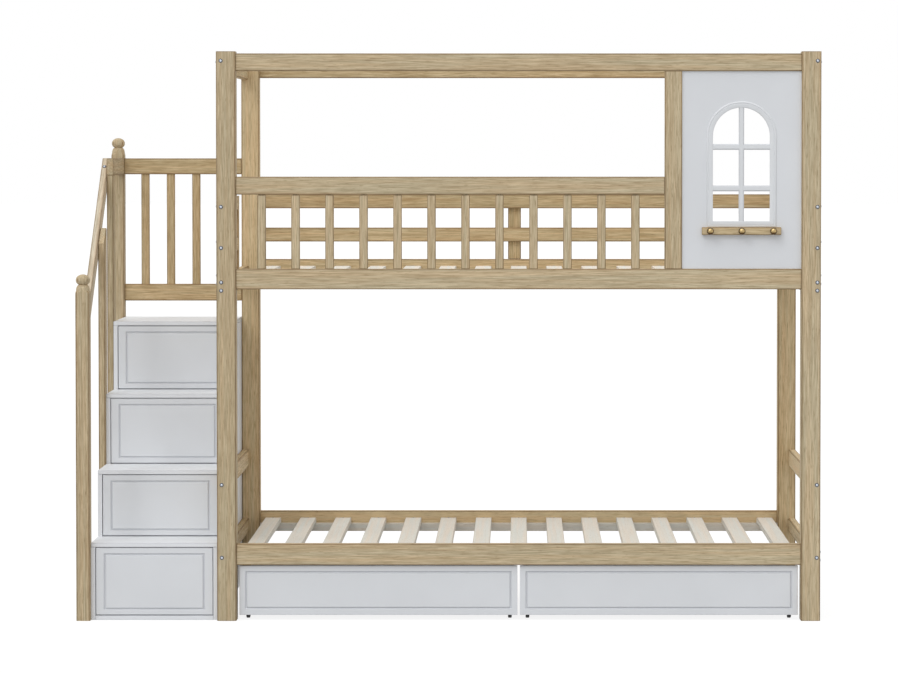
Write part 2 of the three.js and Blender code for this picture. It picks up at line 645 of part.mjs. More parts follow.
function stairRail() {
  const group = new THREE.Group();
  const innerX = span(newelRight - SIDE_RAIL_THICKNESS, newelRight);
  const outerX = span(newelLeft, innerX.low - JOINT_GAP);
  const [, secondStep, thirdStep, fourthStep] = steps;
  const lowerStart = thirdStep.front - LOWER_BALUSTER_LEAD;
  const lowerY = span(lowerStart, lowerStart + SIDE_BALUSTER_WIDTH);
  const upperStart = fourthStep.front + UPPER_BALUSTER_SETBACK;
  const upperY = span(upperStart, upperStart + SIDE_BALUSTER_WIDTH);

  // The handrail rises from the front newel's back face and is cut level with the level rail.
  const rise = Math.tan(HANDRAIL_SLOPE);
  const drop = HANDRAIL_DEPTH / Math.cos(HANDRAIL_SLOPE);
  const topCorner = upperY.high + HANDRAIL_CORNER;
  const topLine = (y) => levelRailTop - (topCorner - y) * rise;
  const foot = NEWEL_WIDTH + JOINT_GAP;
  const head = upperY.high + HANDRAIL_LAP;
  group.add(piece('handrail', sideProfile([
    [foot, topLine(foot) - drop], [head, topLine(head) - drop], [head, levelRailTop],
    [topCorner, levelRailTop], [foot, topLine(foot)],
  ], outerX), OAK));
  group.add(newel('newel_front', 0, topLine(foot) + FRONT_NEWEL_RISE));
  group.add(newel('newel_back', backNewelFront, levelRailTop + BACK_NEWEL_RISE));

  const lowerFoot = secondStep.top - LOWER_BALUSTER_DROP;
  group.add(piece('side_baluster_lower', sideProfile([
    [lowerY.low, lowerFoot], [lowerY.high, lowerFoot],
    [lowerY.high, topLine(lowerY.high) - BALUSTER_TOP_DROP],
    [lowerY.low, topLine(lowerY.low) - BALUSTER_TOP_DROP],
  ], innerX), OAK));

  const levelZ = span(levelRailTop - LEVEL_RAIL_HEIGHT, levelRailTop);
  const upperZ = span(fourthStep.top - UPPER_BALUSTER_DROP, levelZ.low - JOINT_GAP);
  group.add(piece('side_baluster_upper', board(innerX, upperY, upperZ, 'z'), OAK));
  const levelY = span(upperY.low, backNewelFront - JOINT_GAP);
  group.add(piece('platform_rail', board(innerX, levelY, levelZ, 'y'), OAK));
  return group;
}

function stairGuard() {
  const x = span(newelRight + JOINT_GAP, -postOuter - JOINT_GAP);
  const middle = backNewelFront + NEWEL_WIDTH / 2;
  const y = span(middle - STAIR_GUARD_THICKNESS / 2, middle + STAIR_GUARD_THICKNESS / 2);
  const top = levelRailTop - STAIR_GUARD_DROP;
  const topZ = span(top - STAIR_GUARD_TOP_RAIL_HEIGHT, top);
  const lowTop = steps.at(-1).top + STAIR_GUARD_LOW_RAIL_RISE;
  const lowZ = span(lowTop - STAIR_GUARD_LOW_RAIL_HEIGHT, lowTop);
  const rails = [topZ, lowZ].map((z) => board(x, y, z, 'x'));
  const balusterY = span(middle - STAIR_BALUSTER_DEPTH / 2, middle + STAIR_BALUSTER_DEPTH / 2);
  const balusterZ = span(lowZ.high - TENON, topZ.low + TENON);
  const [start, end] = [newelRight + FIRST_STAIR_BALUSTER_GAP, -postOuter - LAST_STAIR_BALUSTER_GAP];
  const balusters = evenSpans(start, end, STAIR_BALUSTER_COUNT, STAIR_BALUSTER_WIDTH)
    .map((balusterX) => board(balusterX, balusterY, balusterZ, 'z'));
  return piece('stair_guard', joined([...rails, ...balusters]), OAK);
}

// Drawers

/** A flat front with a rectangular groove routed round its face. */
function groovedFront(x, y, z, inset) {
  const ring = (margin) => {
    const hole = block(
      span(x.low + inset.side - margin, x.high - inset.side + margin),
      span(y.low - CUT_OVERSHOOT, y.low + GROOVE_DEPTH),
      span(z.low + inset.bottom - margin, z.high - inset.top + margin));
    return solidOf(hole);
  };
  const groove = ring(GROOVE_WIDTH / 2).subtract(ring(-GROOVE_WIDTH / 2));
  return solidOf(block(x, y, z)).subtract(groove);
}

/** An open-topped box whose floor is lifted from its bottom edges. */
function drawerBox(x, y, z, floorLift) {
  const inside = (low, high) => solidOf(block(
    span(x.low + DRAWER_WALL, x.high - DRAWER_WALL),
    span(y.low + DRAWER_WALL, y.high - DRAWER_WALL),
    span(low, high)));
  const floorTop = z.low + floorLift + DRAWER_FLOOR;
  let box = solidOf(block(x, y, z)).subtract(inside(floorTop, z.high + CUT_OVERSHOOT));
  if (floorLift > 0) box = box.subtract(inside(z.low - CUT_OVERSHOOT, z.low + floorLift));
  return box;
}

function stepDrawer({ front, top, shelf }, index) {
  const ceiling = top - PANEL_BOARD;
  const x = span(
    stairLeft + PANEL_BOARD + STEP_FRONT_GAP, stairRight - PANEL_BOARD - STEP_FRONT_GAP);
  const y = span(front + STEP_FRONT_RECESS, front + STEP_FRONT_RECESS + STEP_FRONT_THICKNESS);
  const z = span(shelf + STEP_FRONT_GAP, ceiling - STEP_FRONT_GAP);
  const boxBack = Math.min(y.high + STEP_BOX_DEPTH, stairBack - STEP_BOX_BACK_GAP);
  const box = drawerBox(
    x, span(y.high - HOUSING, boxBack),
    span(shelf + GLIDE_GAP, z.high - STEP_BOX_HEADROOM), STEP_FLOOR_LIFT);
  const whole = groovedFront(x, y, z, STEP_GROOVE_INSET).add(box);
  return piece(`step_drawer_${index + 1}`, geometryOf(whole), WHITE);
}

/** Two cheeks under the box with the axle pin between them. */
function casterFork(x, y) {
  const half = WHEEL_WIDTH / 2 + FORK_CLEARANCE;
  const axleZ = WHEEL_DIAMETER / 2;
  const z = span(axleZ - FORK_BELOW_AXLE, BED_BOX_BOTTOM + HOUSING);
  const cheekY = span(y - FORK_WIDTH / 2, y + FORK_WIDTH / 2);
  const cheeks = [span(x - half - FORK_WALL, x - half), span(x + half, x + half + FORK_WALL)]
    .map((cheekX) => solidOf(block(cheekX, cheekY, z)));
  const pin = new THREE.CylinderGeometry(
    AXLE_DIAMETER / 2, AXLE_DIAMETER / 2, 2 * half + FORK_WALL, WHEEL_FACETS)
    .rotateZ(Math.PI / 2)
    .translate(x, y, axleZ);
  return cheeks[0].add(cheeks[1]).add(solidOf(pin));
}

function casterWheel() {
  const [rim, bore, half] = [WHEEL_DIAMETER / 2, AXLE_DIAMETER / 2 + AXLE_CLEARANCE, WHEEL_WIDTH / 2];
  return turned([
    [bore, -half], [rim - WHEEL_CROWN, -half], [rim, -half + WHEEL_CROWN],
    [rim, half - WHEEL_CROWN], [rim - WHEEL_CROWN, half], [bore, half], [bore, -half],
  ], WHEEL_FACETS).rotateY(Math.PI / 2);
}

function bedDrawer(side) {
  const group = new THREE.Group();
  const sign = side === 'left' ? -1 : 1;
  const ends = [sign * (BED_FRONT_CENTRE_GAP / 2), sign * (postInner - BED_FRONT_SIDE_GAP)];
  const x = span(Math.min(...ends), Math.max(...ends));
  const y = span(BED_FRONT_RECESS, BED_FRONT_RECESS + BED_FRONT_THICKNESS);
  const z = span(BED_FRONT_BOTTOM, LOWER_DECK_TOP - LOWER_DECK_RAIL_HEIGHT - BED_FRONT_TOP_GAP);
  const boxX = span(x.low + BED_BOX_INSET, x.high - BED_BOX_INSET);
  const boxY = span(y.high - HOUSING, y.high + BED_BOX_DEPTH);
  const boxZ = span(BED_BOX_BOTTOM, z.high - BED_BOX_HEADROOM);
  let whole = groovedFront(x, y, z, BED_GROOVE_INSET).add(drawerBox(boxX, boxY, boxZ, 0));

  const [frontAxle, backAxle] = [y.low + FRONT_CASTER_SETBACK, boxY.high - BACK_CASTER_INSET];
  const axles = {
    front_left: [x.low + CASTER_INSET, frontAxle],
    front_right: [x.high - CASTER_INSET, frontAxle],
    back_left: [x.low + CASTER_INSET, backAxle],
    back_right: [x.high - CASTER_INSET, backAxle],
  };
  for (const [corner, [axleX, axleY]] of Object.entries(axles)) {
    whole = whole.add(casterFork(axleX, axleY));
    const wheel = casterWheel().translate(axleX, axleY, WHEEL_DIAMETER / 2);
    group.add(piece(`${side}_wheel_${corner}`, wheel, BLACK));
  }
  group.add(piece(`bed_drawer_${side}`, geometryOf(whole), WHITE));
  return group;
}

// The whole object

const bed = new THREE.Group();
bed.add(bunkFrame());
bed.add(slatBase('upper_slat_base', UPPER_DECK_TOP, UPPER_DECK_RAIL_HEIGHT));
bed.add(slatBase('lower_slat_base', LOWER_DECK_TOP, LOWER_DECK_RAIL_HEIGHT));
bed.add(frontGuard(), backGuard(), endGuards());
bed.add(windowStile(), windowPanel(), pegRail());
bed.add(stairCarcass(), stairRail(), stairGuard());
steps.forEach((step, index) => bed.add(stepDrawer(step, index)));
bed.add(bedDrawer('left'), bedDrawer('right'));
bed.position.set(-(newelLeft + postOuter) / 2, -(knobFront + BED_DEPTH) / 2, 0);

const root = new THREE.Group();
root.add(bed);
root.updateMatrixWorld(true);

export default root;
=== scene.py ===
"""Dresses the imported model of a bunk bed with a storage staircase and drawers.

Metres, +Z up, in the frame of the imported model. Left and right are the viewer's. Every node of the
model is replaced by a finer piece in its own room: boards with rounded edges, a moulded window, turned
finials, grooved drawer fronts, casters and bolt heads.
"""

import logging
import math
import random
from abc import ABC, abstractmethod
from collections.abc import Callable, Iterable, Sequence
from dataclasses import dataclass, field
from enum import Enum
from typing import ClassVar

import bmesh
import bpy
from bmesh.types import BMEdge, BMFace, BMVert
from mathutils import Euler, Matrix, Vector

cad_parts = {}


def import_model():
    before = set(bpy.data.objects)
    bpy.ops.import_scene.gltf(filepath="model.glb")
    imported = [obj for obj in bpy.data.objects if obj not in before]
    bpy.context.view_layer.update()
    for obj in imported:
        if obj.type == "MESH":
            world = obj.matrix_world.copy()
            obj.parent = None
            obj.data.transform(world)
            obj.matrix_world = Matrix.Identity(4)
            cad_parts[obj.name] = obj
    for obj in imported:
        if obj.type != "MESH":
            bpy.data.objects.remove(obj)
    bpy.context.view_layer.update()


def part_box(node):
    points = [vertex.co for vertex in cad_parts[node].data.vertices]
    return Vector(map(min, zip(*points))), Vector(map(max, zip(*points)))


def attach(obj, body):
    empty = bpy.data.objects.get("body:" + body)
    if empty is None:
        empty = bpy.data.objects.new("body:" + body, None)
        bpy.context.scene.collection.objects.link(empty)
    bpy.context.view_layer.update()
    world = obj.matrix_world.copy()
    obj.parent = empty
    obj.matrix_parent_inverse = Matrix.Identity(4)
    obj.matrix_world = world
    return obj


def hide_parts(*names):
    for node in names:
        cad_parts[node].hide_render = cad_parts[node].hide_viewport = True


LOG = logging.getLogger("bunk_bed")

TIMBER = "timber"  # attribute: a board's own point, along its grain, across it and through the board
# The tone also carries painted light and shade on some boards.
TONE = "tone"  # attribute: how much lighter or darker than its wood a board is
EDGE = "edge"  # attribute: how strongly a face is shaded as an edge, from 0 to 1
LAID = "laid"  # working layer: 1 on a face that has its finish
FRAME = "frame"  # the body that stands still
JOINT_GAP = 0.0003  # between boards that touch
LET_IN = 0.001  # how far a small part goes into the part that carries it
NEARLY = 1e-6  # places nearer than this are the same
MERGED = 1e-5  # vertices of a turned shape nearer than this become one
FACING = 0.99  # a face looks in a direction from this cosine on
LOG_PLACES = ((0, 50), (-0.12, 0.12), (0.04, 0.2))  # where in its log a board starts, on each of its axes
TONE_SPREAD = 0.07  # how far a board's tone strays from its piece's
STRIP_SHADE = 0.8  # of the strip beside a rounding
X, Y, Z = AXES = Vector((1, 0, 0)), Vector((0, 1, 0)), Vector((0, 0, 1))

Pair = tuple[float, float]
Span = Pair  # the lowest and the highest place on an axis, or the lowest and the highest value
Triple = tuple[float, float, float]
Colour = Triple
Socket = bpy.types.NodeSocket
Sockets = bpy.types.bpy_prop_collection
Inputs = dict[str | int, object]


class Grain(Enum):
    """The axis that a board's grain runs along."""

    X = 0
    Y = 1
    Z = 2


@dataclass(frozen=True)
class Edging:
    """How a board's edges are worked.

    Args:
        long: rounding of the edges along the grain.
        ends: arris of the edges round the ends.
        segments: facets of the long rounding.
        shaded_strip: width of the strip beside the rounding that is darkened with it as painted edge shade.
    """

    long: float
    ends: float
    segments: int
    shaded_strip: float = 0.0


EASED = Edging(0.003, 0.0008, 3, 0.0015)
CRISP = Edging(0.0008, 0.0008, 1)
SLIM = Edging(0.002, 0.0008, 3, 0.0008)
PLAIN = Edging(0.002, 0.0008, 3)
NOSING = Edging(0.0015, 0.0015, 2, 0.0012)


def inset(span: Span, margin: float) -> Span:
    """Gives what is left of a span inside a margin at both ends."""
    return span[0] + margin, span[1] - margin


def about(middle: float, width: float) -> Span:
    """Gives the span of one width round a middle."""
    return middle - width / 2, middle + width / 2


def ends(span: Span, width: float) -> tuple[Span, Span]:
    """Gives the first and the last stretch of a span."""
    return (span[0], span[0] + width), (span[1] - width, span[1])


def even_spans(start: float, end: float, count: int, width: float) -> list[Span]:
    """Gives the spans of bars of one width that stand at equal pitch from a start to an end."""
    pitch = (end - start - width) / (count - 1)
    return [(start + i * pitch, start + i * pitch + width) for i in range(count)]


def polygon_radius(angle: float, sides: int, flat: float) -> float:
    """Gives a regular polygon's radius at an angle from a side's middle, where its radius is flat."""
    half = math.pi / sides
    return flat / math.cos((angle + half) % (2 * half) - half)


def ball_profile(radii: Pair, centre: float, start: float, steps: int) -> list[Pair]:
    """Gives the radius and the height of a turned ball's points, from its neck to its top.

    Args:
        radii: radius across the axis and along it.
        centre: height of its centre.
        start: angle between the axis and the edge of the neck.
        steps: facets between the neck and the top.
    """
    turns = [math.pi - start - i * (math.pi - start) / steps for i in range(steps + 1)]
    return [(radii[0] * math.sin(turn), centre + radii[1] * math.cos(turn)) for turn in turns]


@dataclass(frozen=True)
class Room:
    """The box that a board fills, from its lowest to its highest corner."""

    low: Vector
    high: Vector

    @classmethod
    def of(cls, node: str) -> "Room":
        """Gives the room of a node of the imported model."""
        return cls(*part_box(node))

    @property
    def size(self) -> Vector:
        """The room's lengths in X, Y and Z."""
        return self.high - self.low

    @property
    def centre(self) -> Vector:
        """The room's middle."""
        return (self.low + self.high) / 2

    def span(self, axis: str) -> Span:
        """Gives the room's lowest and highest place on an axis."""
        return getattr(self.low, axis), getattr(self.high, axis)

    def cut(self, **spans: Span) -> "Room":
        """Gives a room with other spans on the axes that are named."""
        low, high = self.low.copy(), self.high.copy()
        for axis, (start, end) in spans.items():
            setattr(low, axis, start)
            setattr(high, axis, end)
        return Room(low, high)


def opaque(colour: Colour) -> tuple[float, float, float, float]:
    """Adds full opacity to a colour."""
    return (*colour, 1.0)


class Graph:
    """Adds nodes to a node tree and joins their sockets."""

    def __init__(self, tree: bpy.types.NodeTree) -> None:
        """Keeps the tree that the nodes go into."""
        self.tree = tree

    def feed(self, node: bpy.types.Node, inputs: Inputs) -> None:
        """Gives each input socket its value, or the output socket that feeds it."""
        for socket, value in inputs.items():
            if isinstance(value, Socket):
                self.tree.links.new(value, node.inputs[socket])
            else:
                node.inputs[socket].default_value = value

    def add(self, kind: str, inputs: Inputs, **settings: object) -> Sockets:
        """Adds one node.

        Args:
            kind: the node's type.
            inputs: for each input socket, a value or the output socket that feeds it.
            settings: the node's own options.

        Returns:
            The node's output sockets.
        """
        node = self.tree.nodes.new(kind)
        for option, value in settings.items():
            setattr(node, option, value)
        self.feed(node, inputs)
        return node.outputs

    def attribute(self, name: str) -> Sockets:
        """Reads an attribute of the mesh."""
        return self.add("ShaderNodeAttribute", {}, attribute_name=name)

    def own_point(self) -> Socket:
        """Gives the point in the object's own coordinates."""
        return self.add("ShaderNodeTexCoord", {})["Object"]

    def math(self, operation: str, *values: object) -> Socket:
        """Joins values by one Math operation and gives its result."""
        return self.add("ShaderNodeMath", dict(enumerate(values)), operation=operation)[0]

    def scaled(self, vector: Socket, scale: Triple) -> Socket:
        """Gives a vector scaled on each axis."""
        return self.add("ShaderNodeVectorMath", {0: vector, 1: scale}, operation="MULTIPLY")[0]

    def noise(self, vector: Socket, scale: float, detail: float) -> Socket:
        """Gives the value of a noise pattern."""
        return self.add("ShaderNodeTexNoise", {"Vector": vector, "Scale": scale, "Detail": detail})[0]

    def ramp(self, value: object, source: Span, target: Span) -> Socket:
        """Takes a value from one span to another, held at both ends."""
        inputs = dict(enumerate((value, *source, *target)))
        return self.add("ShaderNodeMapRange", inputs, clamp=True)[0]

    def bump(self, height: Socket, strength: float, distance: float) -> Socket:
        """Gives the normal of a surface that follows a height."""
        inputs = {"Height": height, "Strength": strength, "Distance": distance}
        return self.add("ShaderNodeBump", inputs)[0]

    def mix(self, share: object, first: object, second: object, mode: str = "MIX") -> Socket:
        """Mixes two colours, each a value or a socket, by the second one's share."""
        inputs = {0: share, 6: first, 7: second}
        return self.add("ShaderNodeMix", inputs, data_type="RGBA", blend_type=mode)[2]


@dataclass(frozen=True)
class Effect:
    """A shader node group that materials place with their own values.

    Args:
        name: the group's name.
        fill: adds the group's nodes and gives what feeds its outputs.
        takes: type of each input socket by its name.
        gives: type of each output socket by its name.
    """

    name: str
    fill: Callable[[Graph, Sockets], Inputs]
    takes: dict[str, str]
    gives: dict[str, str]

    def make(self) -> None:
        """Makes the group."""
        tree = bpy.data.node_groups.new(self.name, "ShaderNodeTree")
        for in_out, sockets in (("INPUT", self.takes), ("OUTPUT", self.gives)):
            for socket, kind in sockets.items():
                tree.interface.new_socket(name=socket, in_out=in_out, socket_type=f"NodeSocket{kind}")
        graph = Graph(tree)
        graph.add("NodeGroupOutput", self.fill(graph, graph.add("NodeGroupInput", {})))

    def place(self, graph: Graph, inputs: Inputs) -> Sockets:
        """Places the group in a material and gives its outputs. The group is made the first time."""
        if self.name not in bpy.data.node_groups:
            self.make()
        return graph.add("ShaderNodeGroup", inputs, node_tree=bpy.data.node_groups[self.name])


def timber_grain(graph: Graph, given: Sockets) -> Inputs:
    """Fills the group for sawn wood: growth rings, long streaks, fibres and pores.

    Args:
        graph: the group.
        given: a board's own point, its light and dark colour, and how strongly the rings (Figure) and
            the streaks (Streak) show.

    Returns:
        The colour and the height of the fibres.
    """
    point, dark = given["Point"], given["Dark"]

    def drawn_out(along: float, across: float, detail: float) -> Socket:
        """Gives noise with one scale along the grain and another across it."""
        return graph.noise(graph.scaled(point, (along, across, across)), 1, detail)

    rings = graph.add(
        "ShaderNodeTexWave",
        {"Vector": graph.scaled(point, (0.05, 1, 1)), "Scale": 30, "Distortion": 9, "Detail": 4,
         "Detail Scale": 0.9, "Detail Roughness": 0.6},
        wave_type="RINGS", rings_direction="X", wave_profile="SAW")["Fac"]
    tone = graph.math("ADD", graph.attribute(TONE)["Fac"], 0.5)
    tone = graph.math("MULTIPLY_ADD", graph.math("SUBTRACT", rings, 0.5), given["Figure"], tone)
    # Each layer of streaks: its scale along and across the grain, its detail and its share.
    for along, across, detail, share in ((0.7, 14, 2, 0.35), (3.2, 130, 3, 0.6), (14, 400, 3, 2.0)):
        noise = graph.math("SUBTRACT", drawn_out(along, across, detail), 0.5)
        tone = graph.math("MULTIPLY_ADD", graph.math("MULTIPLY", noise, share), given["Streak"], tone)
    colour = graph.mix(graph.ramp(tone, (0, 1), (0, 1)), dark, given["Light"])
    warmth = graph.ramp(drawn_out(1.8, 60, 2), (0.35, 0.65), (0, 1))
    tint = graph.mix(warmth, (0.975, 1.01, 1.035, 1), (1.03, 0.985, 0.95, 1))
    tinted = graph.mix(1.0, colour, tint, "MULTIPLY")
    pores = graph.ramp(drawn_out(34, 390, 2), (0.6, 0.7), (0, 0.42))
    return {"Color": graph.mix(pores, tinted, dark, "MULTIPLY"), "Fibre": drawn_out(11, 620, 3)}


def sprayed_paint(graph: Graph, given: Sockets) -> Inputs:
    """Fills the group for sprayed paint: faint clouds in its colour and the fine swell of its surface.

    Args:
        graph: the group.
        given: a point and the paint's colour.

    Returns:
        The colour, the height of the swell and a mask for the sheen.
    """
    clouds = graph.noise(given["Point"], 5, 3)
    shade = graph.ramp(clouds, (0.3, 0.7), (0.975, 1.015))
    grey = graph.add("ShaderNodeCombineColor", {0: shade, 1: shade, 2: shade})[0]
    return {
        "Color": graph.mix(1.0, given["Paint"], grey, "MULTIPLY"),
        "Swell": graph.noise(given["Point"], 320, 2),
        "Sheen": graph.ramp(clouds, (0.3, 0.7), (0.36, 0.46))}


def edge_shade(graph: Graph, given: Sockets) -> Inputs:
    """Fills the group that multiplies a colour by a shade where a piece's edge attribute is set."""
    share = graph.math("MULTIPLY", graph.attribute(EDGE)["Fac"], given["Strength"])
    return {"Color": graph.mix(share, given["Color"], given["Shade"], "MULTIPLY")}


TIMBER_GRAIN = Effect(
    "timber_grain", timber_grain,
    {"Point": "Vector", "Light": "Color", "Dark": "Color", "Figure": "Float", "Streak": "Float"},
    {"Color": "Color", "Fibre": "Float"})
SPRAYED_PAINT = Effect(
    "sprayed_paint", sprayed_paint, {"Point": "Vector", "Paint": "Color"},
    {"Color": "Color", "Swell": "Float", "Sheen": "Float"})
EDGE_SHADE = Effect(
    "edge_shade", edge_shade, {"Color": "Color", "Shade": "Color", "Strength": "Float"}, {"Color": "Color"})


@dataclass(frozen=True)
class Finish(ABC):
    """What a face is made of.

    Args:
        name: the material's name.
        slot: the record's slot that it belongs to, or nothing where the record has none. It is not used.
    """

    SHADE: ClassVar[Colour]

    name: str
    slot: str

    @abstractmethod
    def surface(self, graph: Graph) -> Inputs:
        """Adds the material's nodes and gives the shader's values and what feeds its sockets."""

    def material(self) -> bpy.types.Material:
        """Gives the material, and makes it the first time."""
        if self.name not in bpy.data.materials:
            material = bpy.data.materials.new(self.name)
            material.use_nodes = True
            graph = Graph(material.node_tree)
            graph.feed(graph.tree.nodes["Principled BSDF"], self.surface(graph))
        return bpy.data.materials[self.name]

    def edged(self, graph: Graph, colour: Socket, strength: float) -> Socket:
        """Gives a colour that is shaded on the piece's edges."""
        inputs = {"Color": colour, "Shade": opaque(self.SHADE), "Strength": strength}
        return EDGE_SHADE.place(graph, inputs)["Color"]


@dataclass(frozen=True)
class Timber(Finish):
    """A wood under clear lacquer.

    Args:
        light: colour of its light streaks.
        dark: colour of its dark streaks.
        figure: how strongly its growth rings show.
        streak: how strongly its streaks show.
        edge: how strongly its rounded edges are darkened, as painted shade.
        roughness: of the lacquer.
    """

    SHADE = (0.34, 0.24, 0.15)
    ROUGHNESS_SPREAD: ClassVar[float] = 0.06

    light: Colour
    dark: Colour
    figure: float
    streak: float
    edge: float
    roughness: float = 0.62

    def surface(self, graph: Graph) -> Inputs:
        """Gives wood with raised fibres."""
        wood = TIMBER_GRAIN.place(graph, {
            "Point": graph.attribute(TIMBER)["Vector"], "Light": opaque(self.light),
            "Dark": opaque(self.dark), "Figure": self.figure, "Streak": self.streak})
        rough = (self.roughness + self.ROUGHNESS_SPREAD, self.roughness - self.ROUGHNESS_SPREAD)
        return {
            "Base Color": self.edged(graph, wood["Color"], self.edge), "Specular IOR Level": 0.12,
            "Roughness": graph.ramp(wood["Fibre"], (0.3, 0.7), rough),
            "Normal": graph.bump(wood["Fibre"], 0.12, 0.0006)}


@dataclass(frozen=True)
class Paint(Finish):
    """A sprayed satin paint.

    Args:
        colour: the paint's colour.
        edge: how strongly its rounded edges and grooves are darkened, as painted shade.
    """

    SHADE = (0.7, 0.7, 0.72)

    colour: Colour
    edge: float

    def surface(self, graph: Graph) -> Inputs:
        """Gives paint with clouds and a fine swell."""
        paint = SPRAYED_PAINT.place(graph, {"Point": graph.own_point(), "Paint": opaque(self.colour)})
        return {
            "Base Color": self.edged(graph, paint["Color"], self.edge), "Specular IOR Level": 0.25,
            "Roughness": paint["Sheen"], "Normal": graph.bump(paint["Swell"], 0.1, 0.0003)}


@dataclass(frozen=True)
class Metal(Finish):
    """A metal with a high polish and fine marks of handling.

    Args:
        colour: the metal's colour.
        roughness: lowest and highest roughness.
        dark_reflection: how strongly it is darkened where its faces are marked, as a painted dark
            reflection.
    """

    SHADE = (0.16, 0.1, 0.06)
    DULLED: ClassVar[float] = 0.8

    colour: Colour
    roughness: Span
    dark_reflection: float = 0.0

    def surface(self, graph: Graph) -> Inputs:
        """Gives metal with marks."""
        marks = graph.noise(graph.own_point(), 260, 4)
        dull = tuple(part * self.DULLED for part in self.colour)
        tint = graph.mix(graph.ramp(marks, (0.35, 0.65), (0, 1)), opaque(self.colour), opaque(dull))
        return {
            "Base Color": self.edged(graph, tint, self.dark_reflection), "Metallic": 1.0,
            "Roughness": graph.ramp(marks, (0.3, 0.7), self.roughness)}


@dataclass(frozen=True)
class Plastic(Finish):
    """A moulded plastic with a fine texture.

    Args:
        colour: the plastic's colour.
    """

    WORN: ClassVar[float] = 1.8

    colour: Colour

    def surface(self, graph: Graph) -> Inputs:
        """Gives plastic that is paler on the top of its texture."""
        texture = graph.noise(graph.own_point(), 900, 2)
        worn = tuple(part * self.WORN for part in self.colour)
        return {
            "Base Color": graph.mix(
                graph.ramp(texture, (0.4, 0.7), (0, 1)), opaque(self.colour), opaque(worn)),
            "Roughness": graph.ramp(texture, (0.3, 0.7), (0.4, 0.55)), "Specular IOR Level": 0.4,
            "Normal": graph.bump(texture, 0.15, 0.0002)}


OAK = Timber("light_oak", "oak", (0.675, 0.562, 0.378), (0.415, 0.323, 0.197), 0.2, 1.3, 0.55)
# A warmer copy of the oak, painted shade for the boards at the back and inside the bed; the peg rail wears
# it too.
SHADED_OAK = Timber("inner_oak", "oak", (0.69, 0.545, 0.335), (0.42, 0.305, 0.16), 0.22, 1.4, 0.6)
# A lighter copy of the oak, painted light on the handrail's top.
LIT_OAK = Timber("pale_oak", "oak", (0.705, 0.615, 0.475), (0.44, 0.36, 0.255), 0.2, 1.3, 0.5)
CREAM = Timber("cream_pine", "cream_slat", (0.86, 0.825, 0.75), (0.73, 0.68, 0.59), 0.15, 0.45, 0.3)
WHITE = Paint("white_satin", "white_board", (0.74, 0.76, 0.79), 0.4)
TRIM_WHITE = Paint("trim_white", "white_board", (0.745, 0.765, 0.79), 0.3)
# A lighter copy of the white paint, painted light on the carcass's tread tops and edges; the drawer boxes
# wear it too.
LIT_WHITE = Paint("carcass_white", "white_board", (0.80, 0.82, 0.85), 0.5)
BRASS = Metal("polished_brass", "brass", (0.52, 0.38, 0.18), (0.06, 0.12), 0.95)
STEEL = Metal("bolt_steel", "", (0.62, 0.66, 0.72), (0.25, 0.42))
# The collars' dark steel: a real collar, darkened as painted shade round the bolt heads.
DARK_STEEL = Metal("collar_steel", "", (0.12, 0.135, 0.17), (0.3, 0.5))
BLACK = Plastic("caster_black", "black_plastic", (0.012, 0.012, 0.013))


